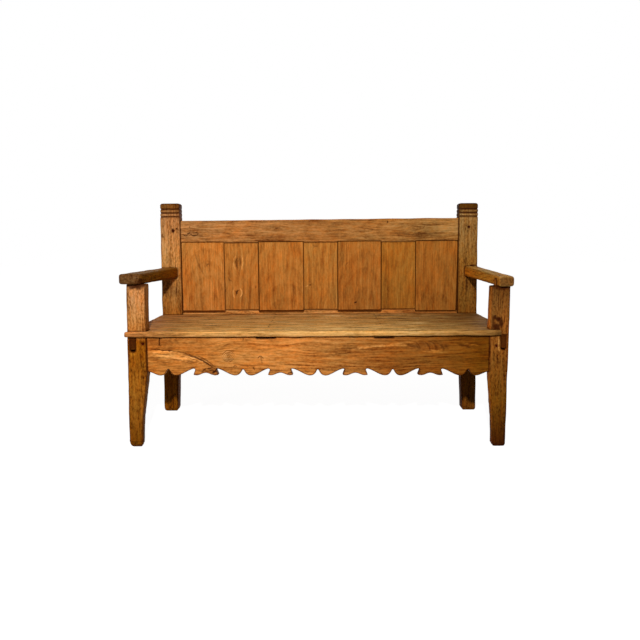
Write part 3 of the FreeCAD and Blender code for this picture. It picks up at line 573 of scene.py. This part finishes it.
def foot_round(outer, inner):
    """A shaping that rounds the bottom corners of a leg. outer and inner are (width, height)
    of the rounding on the side away from the middle of the bench and on the side to it."""
    def shaped(points):
        foot = points[points[:, 2] < GROUND]
        out = math.copysign(1, foot[:, 0].mean())
        for side, way, (wide, high) in ((0, -out, outer), (0, out, inner), (1, 1, outer),
                                        (1, -1, inner)):
            edge = foot[:, side].min() if way > 0 else foot[:, side].max()
            off_side = ((points[:, side] - edge) * way - wide) / wide
            off_down = (points[:, 2] - high) / high
            away = np.hypot(off_side, off_down)
            outside = (off_side < 0) & (off_down < 0) & (away > 1)
            points[outside, side] = edge + way * wide * (1 + (off_side / away)[outside])
            points[outside, 2] = high * (1 + (off_down / away)[outside])
        return points
    return shaped


def droop(points):
    """The last wide panel has slipped down and shrunk: a wedge is open down its right side."""
    low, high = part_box("back_panel_4")
    front = min(v.co.y for v in nodes["back_muntin_3"].data.vertices)
    field = points[:, 1] < front + PANEL_LIP
    down = np.clip((high.z - points[:, 2]) / (high.z - low.z), 0, 1) * field
    share = (points[:, 0] - low.x) / (high.x - low.x)
    points[:, 0] -= PANEL_SHRINK * down ** 1.5 * np.clip(share, 0, 1) ** 2
    foot = np.clip(1 - (points[:, 2] - low.z) / PANEL_FOOT, 0, 1) * field
    points[:, 2] -= PANEL_DROP * foot
    return points


def long_lip(points):
    """The worn lip of the seat reaches further over the right leg than the board behind it."""
    ahead = eased(points[:, 1], *LIP_DEPTH)
    points[:, 0] += LIP_PAST * eased(points[:, 0], *LIP_RUN) * ahead
    return points


def weathered(low, high, seed, count, from_x, depth):
    """Thin streaks along a seat board, from chance places past from_x."""
    rng = np.random.default_rng(seed)
    found = []
    for _ in range(count):
        x = rng.uniform(from_x, high.x - 0.1)
        y = rng.uniform(low.y + BOARD_MARGIN, high.y - BOARD_MARGIN)
        long = rng.uniform(*STREAK_LONG)
        rise = rng.uniform(-STREAK_BOW, STREAK_BOW)
        found.append((x, y, min(x + long, high.x), y + rise,
                      rng.uniform(-STREAK_BOW, STREAK_BOW), rng.uniform(*STREAK_HALF),
                      depth * rng.uniform(0.35, 1.0)))
    return found


# Heights of the painted shade lines in the grooves under the caps of the rear posts and of
# the painted highlight lines on the beads between
CAP_LINES = {"rear_post_left": ((0.9485, 0.9313, 0.9141), (0.940, 0.9225)),
             "rear_post_right": ((0.9405, 0.9233, 0.9061), (0.932, 0.9145))}
CAP_PAST = 0.04     # the lines run on past both sides of the post


def cap_marks(name, light):
    """Painted shade lines in the grooves of a post, or painted highlight lines on its beads."""
    low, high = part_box(name)
    grooves, beads = CAP_LINES[name]
    heights, half_width, depth = (beads, 0.0034, 0.55) if light else (grooves, 0.0036, 0.7)
    return [(z, low.x - CAP_PAST, z, high.x + CAP_PAST, 0, half_width, depth) for z in heights]


def make(name, slot, wear, seed, shaping=None, size=VOXEL, cracks_and_shade=(), smears=(), lights=(),
         stains_and_shadows=(), spots=(), **looks):
    """One worn piece of wood. cracks, smears (brown) and lights (pale) are lines on its main
    face; stains are (along, across, reach along, reach across, depth) on that face and spots
    (x, y, z, reach in x, y, z, depth) on any face, both pale where the depth is below 0. Some
    of the cracks, stains and spots are painted shade and shadows, and some lights and pale
    spots painted highlights."""
    piece = worn(name, wear, seed, shaping, size)
    mark_up(piece, looks["grain"], looks["face"], seed, size, cracks_and_shade, smears, lights, stains_and_shadows,
            spots)
    dress(piece, wood("wood_" + name, seed=float(seed), **looks))


# Marks of each piece. Lines are as in strokes, stains and spots as in make, knots as in wood.
# The three fronts are the places along Y of the legs' faces, the arms' ends and the seat's edge.
LEG_FRONT = -0.2525
ARM_FRONT = -0.2775
NOSING_FRONT = -0.2745
APRON_KNOTS = [(-0.338, 0.360, 0.016, 1.3, 0.2), (-0.405, 0.306, 0.012, 1.6, 0.7)]
APRON_CRACKS = [(-0.604, 0.437, -0.605, 0.401, 0, 0.0036, 1.0),
                (-0.605, 0.402, -0.598, 0.405, 0, 0.003, 0.8),
                (-0.642, 0.389, -0.542, 0.381, 0.0012, 0.0022, 0.9),
                (-0.543, 0.382, -0.431, 0.343, 0.0055, 0.0020, 0.8),
                (-0.512, 0.369, -0.391, 0.310, 0.0091, 0.0044, 1.0),
                (-0.463, 0.365, -0.389, 0.316, 0.0046, 0.0030, 0.8),
                (-0.502, 0.343, -0.473, 0.339, 0, 0.0023, 0.8),
                (-0.422, 0.312, -0.404, 0.316, 0, 0.0042, 0.9),
                (-0.403, 0.294, -0.381, 0.312, 0, 0.0049, 1.0),
                (-0.447, 0.296, -0.427, 0.315, 0, 0.0034, 0.6),
                (-0.323, 0.317, -0.306, 0.318, 0.0063, 0.0023, 0.8),
                (-0.228, 0.353, -0.217, 0.363, 0, 0.0023, 0.9),
                (-0.217, 0.363, -0.204, 0.351, 0, 0.0023, 0.9),
                (-0.217, 0.362, -0.210, 0.332, 0, 0.0019, 0.6),
                (-0.296, 0.324, -0.172, 0.328, -0.0008, 0.003, 0.5),
                (-0.246, 0.320, -0.240, 0.306, 0, 0.0027, 0.8),
                (-0.111, 0.292, -0.095, 0.298, 0, 0.0046, 0.9),
                (-0.282, 0.436, -0.282, 0.419, 0, 0.0019, 0.6),
                (-0.640, 0.373, -0.552, 0.363, 0.002, 0.0020, 0.45),
                (-0.632, 0.359, -0.500, 0.342, 0.003, 0.0020, 0.45),
                (-0.580, 0.352, -0.472, 0.330, 0.003, 0.0020, 0.45),
                (-0.530, 0.364, -0.440, 0.334, 0.004, 0.0020, 0.45),
                (-0.642, 0.346, -0.560, 0.334, 0.002, 0.0020, 0.4),
                (0.347, 0.401, 0.395, 0.392, 0.0023, 0.0070, 0.5),
                (0.540, 0.402, 0.594, 0.389, 0.002, 0.0050, 0.6)]
APRON_LIGHTS = [(0.136, 0.386, 0.343, 0.407, 0.0019, 0.0061, 0.7),
                (0.424, 0.390, 0.485, 0.377, -0.005, 0.0038, 0.7),
                (0.558, 0.408, 0.627, 0.397, -0.0008, 0.0038, 1.0),
                (-0.650, 0.382, -0.410, 0.330, 0.016, 0.0060, 0.6),
                (-0.650, 0.366, -0.450, 0.330, 0.008, 0.0060, 0.5),
                (0.300, 0.402, 0.347, 0.398, 0.001, 0.0060, 0.6),
                (0.339, 0.417, 0.397, 0.411, -0.0052, 0.0027, 0.5)]
APRON_STAINS = [(-0.611, 0.406, 0.05, 0.022, 0.3), (0.464, 0.398, 0.05, 0.02, 0.35),
                (-0.61, 0.346, 0.05, 0.02, -0.12), (0.42, 0.395, 0.075, 0.022, 0.40),
                (-0.60, 0.415, 0.075, 0.024, 0.45), (-0.47, 0.405, 0.08, 0.025, 0.22),
                (0.60, 0.400, 0.05, 0.02, 0.25), (-0.585, 0.367, 0.062, 0.017, -0.75),
                (-0.49, 0.350, 0.045, 0.013, -0.7), (-0.44, 0.335, 0.035, 0.012, -0.5)]
TOP_RAIL_KNOTS = [(0.44, 0.852, 0.014, 1.8, 0.25), (0.20, 0.845, 0.016, 2.2, 0.2),
                  (-0.587, 0.852, 0.012, 1.6, 0.3), (-0.19, 0.858, 0.012, 2.0, 0.2)]
TOP_RAIL_CRACKS = [(-0.622, 0.835, -0.596, 0.831, -0.0058, 0.0032, 1.0),
                   (-0.601, 0.834, -0.584, 0.840, 0, 0.0034, 1.0),
                   (-0.587, 0.839, -0.547, 0.836, -0.0109, 0.0034, 1.0),
                   (-0.575, 0.838, -0.547, 0.836, 0.0044, 0.0026, 0.9),
                   (-0.589, 0.870, -0.586, 0.862, 0, 0.0023, 0.8),
                   (-0.613, 0.878, -0.562, 0.879, -0.0038, 0.0017, 0.4),
                   (-0.467, 0.837, -0.393, 0.824, 0.0097, 0.0015, 0.4),
                   (-0.199, 0.852, -0.167, 0.870, -0.0012, 0.0017, 0.4),
                   (0.322, 0.890, 0.322, 0.877, 0, 0.003, 0.9),
                   (0.487, 0.855, 0.493, 0.863, 0, 0.003, 0.6),
                   (0.565, 0.837, 0.581, 0.833, 0, 0.0019, 0.5),
                   (0.182, 0.864, 0.274, 0.846, -0.0022, 0.0017, 0.4),
                   (0.389, 0.835, 0.476, 0.840, -0.0115, 0.0017, 0.4),
                   (0.416, 0.854, 0.485, 0.849, 0.0133, 0.0017, 0.3)]
# The first spot is a painted shadow under the arm on the top of the leg
LEG_LEFT_SPOTS = [(-0.690, LEG_FRONT, 0.640, 0.050, 0.01, 0.021, 1.0),
                  (-0.7097, LEG_FRONT, 0.3715, 0.011, 0.02, 0.006, -0.6)]
LEG_LEFT_KNOTS = [(0.585, -0.700, 0.012, 1.0, 0.2), (0.33, -0.690, 0.008, 2.0, 0.2)]
LEG_RIGHT_SPOTS = [(0.6750, LEG_FRONT, 0.486, 0.008, 0.02, 0.040, 0.8),
                   (0.694, LEG_FRONT, 0.498, 0.015, 0.03, 0.010, 1.0),
                   (0.705, LEG_FRONT, 0.488, 0.009, 0.03, 0.018, 0.95),
                   (0.682, LEG_FRONT, 0.506, 0.007, 0.03, 0.012, 1.0),
                   (0.689, LEG_FRONT, 0.466, 0.013, 0.02, 0.020, 0.9),
                   # a painted shadow under the arm on the top of the leg
                   (0.702, LEG_FRONT, 0.622, 0.040, 0.01, 0.012, 0.9),
                   (0.6880, LEG_FRONT, 0.560, 0.005, 0.02, 0.040, -0.3)]
LEG_RIGHT_CRACKS = [(0.506, 0.672, 0.503, 0.680, 0, 0.0034, 0.9),
                    (0.560, 0.673, 0.554, 0.674, 0, 0.003, 0.8),
                    (0.458, 0.704, 0.442, 0.713, 0, 0.0038, 0.6)]
# Painted shadows on the left rear post: two where the arm's shadow falls below it, one low down
# under the seat
POST_LEFT_SHADOWS = [(0.60, -0.705, 0.045, 0.030, 0.75), (0.575, -0.672, 0.035, 0.025, 0.5),
                    (0.22, -0.68, 0.16, 0.06, 0.35)]
POST_LEFT_CRACKS = [(0.854, -0.665, 0.846, -0.662, 0, 0.0046, 1.0),
                    (0.864, -0.648, 0.854, -0.646, 0, 0.0023, 0.8),
                    (0.826, -0.715, 0.820, -0.706, 0, 0.0038, 0.6)]
POST_RIGHT_CRACKS = [(0.682, 0.700, 0.681, 0.724, 0, 0.006, 1.0),
                     (0.642, 0.689, 0.554, 0.691, 0.0037, 0.0052, 0.8),
                     (0.628, 0.701, 0.568, 0.700, -0.0048, 0.003, 0.4)]
# Painted shade in a recess at the corner of the arm's end and along its lower front edge, and a
# painted highlight near the top of its end
ARM_LEFT_SPOTS = [(-0.659, -0.275, 0.644, 0.023, 0.04, 0.022, 1.0),
                  (-0.700, ARM_FRONT, 0.632, 0.060, 0.02, 0.008, 0.8),
                  (-0.6830, ARM_FRONT, 0.667, 0.010, 0.02, 0.008, -0.7)]

# The apron's large knot and its rings
KNOT_EYE = (-0.340, 0.361)
KNOT_SQUASH = 0.8
DARK_RINGS = (0.007, 0.013, 0.020, 0.027)
LIGHT_RINGS = (0.010, 0.0165, 0.0235)

# Curled grain round a grown-over knot, right of the apron's middle
CURL_DARK = [(0.352, 0.409, 0.372, 0.396, -0.004, 0.005, 0.40),
             (0.372, 0.416, 0.398, 0.384, 0.006, 0.004, 0.45),
             (0.388, 0.418, 0.420, 0.390, 0.008, 0.005, 0.35),
             (0.412, 0.414, 0.436, 0.380, 0.006, 0.004, 0.50),
             (0.424, 0.417, 0.458, 0.386, 0.009, 0.005, 0.40),
             (0.446, 0.409, 0.464, 0.378, 0.004, 0.004, 0.50),
             (0.459, 0.411, 0.482, 0.381, 0.005, 0.004, 0.35),
             (0.476, 0.404, 0.490, 0.376, 0.003, 0.004, 0.45),
             (0.489, 0.400, 0.506, 0.382, 0.003, 0.004, 0.30)]
CURL_LIGHT = [(0.362, 0.412, 0.386, 0.388, 0.004, 0.004, 0.40),
              (0.398, 0.414, 0.424, 0.384, 0.007, 0.004, 0.35),
              (0.433, 0.413, 0.452, 0.382, 0.006, 0.004, 0.40),
              (0.468, 0.405, 0.480, 0.377, 0.003, 0.004, 0.40),
              (0.395, 0.380, 0.505, 0.374, -0.004, 0.004, 0.50)]

make("front_apron", "old_pine", 0.55, 11, None, FINE_VOXEL, grain="X", face="Y",
     tones=APRON_TONES, middle=0.36, ring=0.012, heart=0.12, slant=0.10, edge=0.0, rim=0.6,
     mottling=0.7, flame=0.14, flecks=(30.0, 200.0, 0.2), dark=(0.26, 0.14, 0.04), contrast=1.25,
     knots=APRON_KNOTS,
     cracks_and_shade=APRON_CRACKS + CURL_DARK + rings(*KNOT_EYE, DARK_RINGS, KNOT_SQUASH, 0.62),
     lights=APRON_LIGHTS + CURL_LIGHT + rings(*KNOT_EYE, LIGHT_RINGS, KNOT_SQUASH, 0.35),
     stains_and_shadows=APRON_STAINS)
make("top_rail", "old_pine", 0.5, 12, None, FINE_VOXEL, grain="X", face="Y", tones=TOP_RAIL_TONES,
     middle=0.85, ring=0.013, heart=0.10, slant=-0.08, contrast=1.2, mottling=0.7, flame=0.14,
     dark=(0.28, 0.16, 0.06), knots=TOP_RAIL_KNOTS, cracks_and_shade=TOP_RAIL_CRACKS)
make("back_bottom_rail", "old_pine", 0.5, 13, grain="X", face="Y", tones=BOTTOM_RAIL_TONES,
     middle=0.42)
# The inner faces of the front legs: painted shade on the left one, painted light on the right one
make("front_leg_left", "dark_pine", 0.7, 14, foot_round((0.015, 0.024), (0.012, 0.014)),
     grain="Z", face="Y", tones=LEG_LEFT_TONES, middle=-0.70, ring=0.011, heart=0.08,
     contrast=1.3, mottling=1.5, rim=0.45, edge=0.0, sides=("X", 1, (0.6, 0.6, 0.55)),
     lights=[(0.376, -0.722, 0.370, -0.700, 0, 0.006, 0.5)], spots=LEG_LEFT_SPOTS,
     knots=LEG_LEFT_KNOTS)
make("front_leg_right", "dark_pine", 0.7, 15, foot_round((0.005, 0.008), (0.011, 0.011)),
     grain="Z", face="Y", tones=LEG_RIGHT_TONES, middle=0.70, ring=0.011, heart=0.08,
     contrast=1.4, mottling=1.8, flecks=(130.0, 170.0, 0.5), rim=0.3, edge=0.1,
     sides=("X", -1, (2.6, 2.3, 2.0)), lights=[(0.437, 0.697, 0.372, 0.699, 0, 0.004, 1.2)],
     spots=LEG_RIGHT_SPOTS, cracks_and_shade=LEG_RIGHT_CRACKS, stains_and_shadows=[(0.475, 0.688, 0.026, 0.017, 0.5)])
# The inner faces of both rear posts are painted darker: painted shade
make("rear_post_left", "dark_pine", 0.7, 16, foot_round((0.014, 0.014), (0.010, 0.014)),
     FINE_VOXEL, grain="Z", face="Y", tones=POST_LEFT_TONES, middle=-0.68, ring=0.012, heart=0.1,
     contrast=1.2, mottling=1.1, edge=0.1, rim=0.4, sides=("X", 1, (0.4, 0.32, 0.25)),
     knots=[(0.83, -0.716, 0.010, 1.5, 0.4)],
     spots=[(-0.665, 0.2255, 0.849, 0.006, 0.02, 0.011, 1.0)], stains_and_shadows=POST_LEFT_SHADOWS,
     lights=[(0.70, -0.651, 0.56, -0.649, 0, 0.004, 0.4)] + cap_marks("rear_post_left", True),
     cracks_and_shade=cap_marks("rear_post_left", False) + POST_LEFT_CRACKS)
# The stain on the right rear post below its arm is a painted shadow of the arm
make("rear_post_right", "dark_pine", 0.7, 17, foot_round((0.009, 0.012), (0.010, 0.010)),
     FINE_VOXEL, grain="Z", face="Y", tones=POST_RIGHT_TONES, middle=0.69, ring=0.012, heart=0.1,
     contrast=1.1, mottling=1.4, edge=0.1, stains_and_shadows=[(0.60, 0.70, 0.05, 0.012, 0.4)],
     flecks=(130.0, 170.0, 0.35), rim=0.4, sides=("X", -1, (0.4, 0.32, 0.25)),
     lights=cap_marks("rear_post_right", True),
     cracks_and_shade=cap_marks("rear_post_right", False) + POST_RIGHT_CRACKS)
# The inner faces of both arms are painted darker: painted shade
make("arm_left", "dark_pine", 0.8, 18, grain="Y", face="Z", tones=ARM_LEFT_TONES, middle=-0.69,
     ring=0.011, contrast=1.4, mottling=1.2, rim=0.4, edge=0.1, sides=("X", 1, (0.66, 0.54, 0.2)),
     spots=ARM_LEFT_SPOTS, ends_shade=(0.68, 0.6, 0.68, 1))
make("arm_right", "dark_pine", 0.8, 19, grain="Y", face="Z", tones=ARM_RIGHT_TONES, middle=0.70,
     ring=0.011, contrast=1.4, mottling=1.2, flecks=(130.0, 170.0, 0.4), rim=0.25, edge=0.1,
     sides=("X", -1, (0.88, 0.66, 0.28)), ends_shade=(0.32, 0.25, 0.2, 1))
make("side_rail_left", "old_pine", 0.5, 20, grain="Y", face="X", tones=SIDE_RAIL_TONES,
     middle=0.40)
make("side_rail_right", "old_pine", 0.5, 21, grain="Y", face="X", tones=SIDE_RAIL_TONES,
     middle=0.40)
make("seat_bearer_left", "old_pine", 0.4, 22, grain="Y", face="Z", tones=BEARER_TONES,
     middle=-0.19)
make("seat_bearer_right", "old_pine", 0.4, 23, grain="Y", face="Z", tones=BEARER_TONES,
     middle=0.26)

# Cracks and pale lines of the boards of the back
BACK_MARKS = {
    "back_panel_1": ([(0.773, -0.569, 0.640, -0.522, 0.0096, 0.0019, 0.4),
                      (0.777, -0.526, 0.733, -0.529, 0, 0.0015, 0.4),
                      (0.684, -0.513, 0.698, -0.500, -0.0042, 0.0019, 0.6)], []),
    "back_muntin_1": ([(0.726, -0.370, 0.674, -0.369, 0.0079, 0.0019, 0.7),
                       (0.730, -0.365, 0.683, -0.362, -0.0062, 0.0015, 0.5),
                       (0.575, -0.366, 0.548, -0.380, 0.0042, 0.0029, 1.0),
                       (0.572, -0.383, 0.556, -0.374, 0, 0.0017, 0.7),
                       (0.638, -0.416, 0.615, -0.396, 0.0048, 0.003, 0.5),
                       (0.578, -0.429, 0.566, -0.428, 0, 0.0034, 1.0),
                       (0.595, -0.288, 0.581, -0.288, 0, 0.0019, 0.6)],
                      [(0.739, -0.375, 0.663, -0.376, 0.0127, 0.0019, 0.6),
                       (0.741, -0.356, 0.664, -0.357, -0.0099, 0.0017, 0.6),
                       (0.583, -0.362, 0.539, -0.364, -0.0108, 0.0021, 0.8),
                       (0.579, -0.389, 0.537, -0.384, 0.0071, 0.0019, 0.7)]),
    "back_muntin_2": ([(0.594, -0.040, 0.597, -0.031, 0, 0.0042, 1.0),
                       (0.770, -0.018, 0.770, 0.003, -0.0046, 0.0017, 0.6),
                       (0.777, -0.021, 0.780, -0.014, 0, 0.0015, 0.5)],
                      [(0.588, -0.058, 0.593, -0.044, 0, 0.0023, 0.7)]),
    "back_panel_3": ([(0.510, 0.169, 0.517, 0.180, 0, 0.0038, 1.0),
                      (0.664, 0.133, 0.704, 0.147, -0.0092, 0.0027, 0.4),
                      (0.621, 0.186, 0.585, 0.190, 0.0077, 0.0019, 0.3)], []),
}
BACK_KNOTS = {"back_muntin_1": [(0.70, -0.368, 0.013, 2.2, 0.2), (0.56, -0.374, 0.010, 1.8, 0.3)]}
BACK_BOARDS = ("back_panel_1", "back_muntin_1", "back_panel_2", "back_muntin_2", "back_panel_3",
               "back_muntin_3", "back_panel_4")
for i, name in enumerate(BACK_BOARDS):
    low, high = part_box(name)
    tone = PANEL_TONES[i]
    cracks_and_shade, lights = BACK_MARKS.get(name, ((), ()))
    make(name, "old_pine", 0.5, 30 + i, droop if name == "back_panel_4" else None,
         grain="Z", face="Y", tones=[(0.50, shaded(tone, 0.97)), (0.77, shaded(tone, 1.04))],
         middle=(low.x + high.x) / 2 + 0.02 * (-1) ** i, ring=0.011 + 0.002 * (i % 3),
         heart=0.07 + 0.02 * (i % 2), slant=0.12 * (-1) ** i, knots=BACK_KNOTS.get(name, ()),
         cracks_and_shade=cracks_and_shade, lights=lights, contrast=0.8, mottling=0.5, flame=0.1,
         bands=(1.2, 60.0, 0.5), flecks=(30.0, 200.0, 0.06), dark=(0.34, 0.2, 0.08), edge=0.3)

# Marks of the seat boards, from the front one to the rear one
SEAT_CRACKS = ((),
               ((0.0, -0.030, 0.028, -0.028, 0, 0.006, 0.8),
                (-0.19, -0.05, -0.12, -0.05, 0, 0.003, 0.6)),
               ((0.27, 0.014, 0.44, 0.016, 0, 0.006, 1.0),
                (-0.3, 0.07, -0.2, 0.072, 0, 0.004, 0.5)),
               ((0.30, 0.16, 0.46, 0.165, 0, 0.008, 0.7),
                (-0.46, 0.2, -0.40, 0.2, 0, 0.006, 0.8)))
SEAT_STAINS = (((0.62, -0.20, 0.07, 0.03, 0.3), (0.15, -0.23, 0.40, 0.05, -0.12)),
               ((0.56, -0.04, 0.09, 0.05, 0.3),),
               ((0.60, 0.05, 0.09, 0.05, 0.45), (0.36, 0.07, 0.08, 0.02, 0.4)),
               ((0.31, 0.18, 0.07, 0.03, 0.4), (-0.60, 0.17, 0.08, 0.03, 0.3)))
NOSING_SPOTS = [(-0.682, NOSING_FRONT, 0.4525, 0.035, 0.01, 0.0035, 0.55),
                (-0.731, NOSING_FRONT, 0.447, 0.006, 0.03, 0.012, 0.6),
                (0.700, NOSING_FRONT, 0.446, 0.028, 0.03, 0.012, 0.9)]
RIGHT_PART = 0.05       # the seat is more weathered past here
for i in range(4):
    name = "seat_board_" + str(i + 1)
    low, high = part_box(name)
    smears = weathered(low, high, 60 + i, 16, low.x, 0.5)
    smears += weathered(low, high, 70 + i, 20, RIGHT_PART, 0.85)
    is_front = i == 0
    # The front face of the seat boards is painted darker than the top: painted shade
    make(name, "worn_pine", 0.6, 40 + i, long_lip if is_front else None, grain="X", face="Z",
         tones=[(place, shaded(tone, SEAT_SHADES[i])) for place, tone in SEAT_TONES],
         middle=(low.y + high.y) / 2 + 0.01, ring=0.010, heart=0.08, slant=0.04,
         cracks_and_shade=SEAT_CRACKS[i], smears=smears,
         lights=weathered(low, high, 80 + i, 22, low.x, 0.7), stains_and_shadows=SEAT_STAINS[i],
         spots=NOSING_SPOTS if is_front else (), contrast=1.65, bands=(2.0, 60.0, 1.0),
         flecks=(6.0, 66.0, 0.5), dark=(0.26, 0.17, 0.07), sides=("Y", -1, (0.6, 0.58, 0.62)))


def small_dark(name, base, patches, bumps):
    """The uneven dark surface of pegs and nails. patches and bumps are counts to the metre."""
    t = Tree(bpy.data.materials.new(name))
    place = t.place()
    grain = t.noise(place, bumps, 3.0, 0.6)
    colour = t.ramp(t.add(grain, t.mul(t.sub(t.noise(place, patches), 0.5), 0.4)),
                    [(0.25, linear([c * 0.5 for c in base])), (0.6, linear(base)),
                     (0.85, linear([min(255, c * 1.5) for c in base]))])
    t.dull_surface(colour, t.add(t.mul(grain, 0.3), 0.55), grain, SMALL_RELIEF)
    return t.owner


peg_wood = small_dark("peg_wood", (70, 14, 2), 90.0, 700.0)
nail_iron = small_dark("nail_iron", (40, 28, 20), 60.0, 900.0)
for name in ("apron_pegs", "top_rail_pegs", "bottom_rail_pegs", "side_rail_pegs", "arm_pegs"):
    dress(nodes[name], peg_wood)
dress(nodes["seat_nails"], nail_iron)

# Floor: pale, and white to the camera, with the bench's shadow on it
FLOOR_SIZE = 30.0
FLOOR_UNDER = 0.0005    # the floor lies this far under the feet
FLOOR_TONE = 0.25
NEAR_FLOOR = 1.2        # from the middle of the bench to where the floor turns whiter
FAR_FLOOR = 3.0
FLOOR_GLOW = 0.94       # near the bench, where its shadow falls
FAR_GLOW = 0.98


def seen(t):
    """1 for rays from the camera, a reflection or a clear body, 0 for the rest."""
    light = t.nodes.new("ShaderNodeLightPath")
    first = t.math("MAXIMUM", light.outputs["Is Camera Ray"], light.outputs["Is Glossy Ray"])
    return t.math("MAXIMUM", first, light.outputs["Is Transmission Ray"])


bpy.ops.mesh.primitive_plane_add(size=FLOOR_SIZE, location=(0, 0, -FLOOR_UNDER))
floor = bpy.context.object
floor.name = "floor"
t = Tree(bpy.data.materials.new("floor_pale"))
diffuse = t.nodes.new("ShaderNodeBsdfDiffuse")
diffuse.inputs["Color"].default_value = (FLOOR_TONE, FLOOR_TONE, FLOOR_TONE, 1)
glow = t.nodes.new("ShaderNodeEmission")
axis = t.split(t.place())
away = t.math("SQRT", t.add(t.mul(axis["X"], axis["X"]), t.mul(axis["Y"], axis["Y"])))
strength = t.span(away, NEAR_FLOOR, FAR_FLOOR, FLOOR_GLOW, FAR_GLOW)
t.put(glow.inputs["Strength"], t.mul(seen(t), strength))
both = t.nodes.new("ShaderNodeAddShader")
t.put(both.inputs[0], diffuse.outputs[0])
t.put(both.inputs[1], glow.outputs[0])
t.end("ShaderNodeOutputMaterial", both.outputs[0])
floor.data.materials.append(t.owner)

# Light: a lamp above and behind the camera, weaker wide ones at the left and behind the
# bench, and the room
SKY_LIGHT = 0.11
LAMP_PLACE = Vector((0.0, -2.84, 1.63))
LAMP_SIZE = 0.08
LAMP_POWER = 72.0
FILL_PLACE = Vector((-2.7, -1.5, 1.3))
FILL_SIZE = 1.6
FILL_POWER = 10.0
BACK_PLACE = Vector((0.9, 3.0, 0.42))
BACK_SIZE = 0.7
BACK_POWER = 26.0
LIT_PLACE = Vector((0.0, 0.0, 0.5))

world = bpy.data.worlds.new("studio")
bpy.context.scene.world = world
t = Tree(world)
sky = t.nodes.new("ShaderNodeBackground")
sky.inputs["Color"].default_value = (1, 1, 1, 1)
t.put(sky.inputs["Strength"], t.span(seen(t), 0.0, 1.0, SKY_LIGHT, 1.0))
t.end("ShaderNodeOutputWorld", sky.outputs[0])


def lamp(name, place, size, power):
    light = bpy.data.objects.new(name, bpy.data.lights.new(name, "AREA"))
    light.data.shape = "DISK"
    light.data.size = size
    light.data.energy = power
    light.location = place
    light.rotation_euler = (place - LIT_PLACE).to_track_quat("Z", "Y").to_euler()
    bpy.context.scene.collection.objects.link(light)


lamp("lamp", LAMP_PLACE, LAMP_SIZE, LAMP_POWER)
lamp("fill", FILL_PLACE, FILL_SIZE, FILL_POWER)
lamp("back_fill", BACK_PLACE, BACK_SIZE, BACK_POWER)

# Camera at the photograph's viewing angle; the turns are in radians, the lens in millimetres
CAMERA_PLACE = Vector((0.0362, -2.4606, 0.8156))
CAMERA_YAW = -0.0096
CAMERA_DOWN = 0.0892
CAMERA_ROLL = -0.0072
LENS = 32.77
SENSOR = 36.0
SHIFT_Y = -0.0479
UPWARD = Vector((0, 0, 1))

camera = bpy.data.objects.new("camera", bpy.data.cameras.new("camera"))
camera.data.lens = LENS
camera.data.sensor_width = SENSOR
camera.data.shift_y = SHIFT_Y
right = Vector((math.cos(CAMERA_YAW), -math.sin(CAMERA_YAW), 0))
level = Vector((math.sin(CAMERA_YAW), math.cos(CAMERA_YAW), 0))
ahead = level * math.cos(CAMERA_DOWN) - UPWARD * math.sin(CAMERA_DOWN)
up = UPWARD * math.cos(CAMERA_DOWN) + level * math.sin(CAMERA_DOWN)
turned = right * math.cos(CAMERA_ROLL) + up * math.sin(CAMERA_ROLL)
raised = up * math.cos(CAMERA_ROLL) - right * math.sin(CAMERA_ROLL)
camera.matrix_world = (Matrix.Translation(CAMERA_PLACE) @
                       Matrix((turned, raised, -ahead)).transposed().to_4x4())
bpy.context.scene.collection.objects.link(camera)
bpy.context.scene.camera = camera

bpy.context.scene.view_settings.view_transform = "Standard"
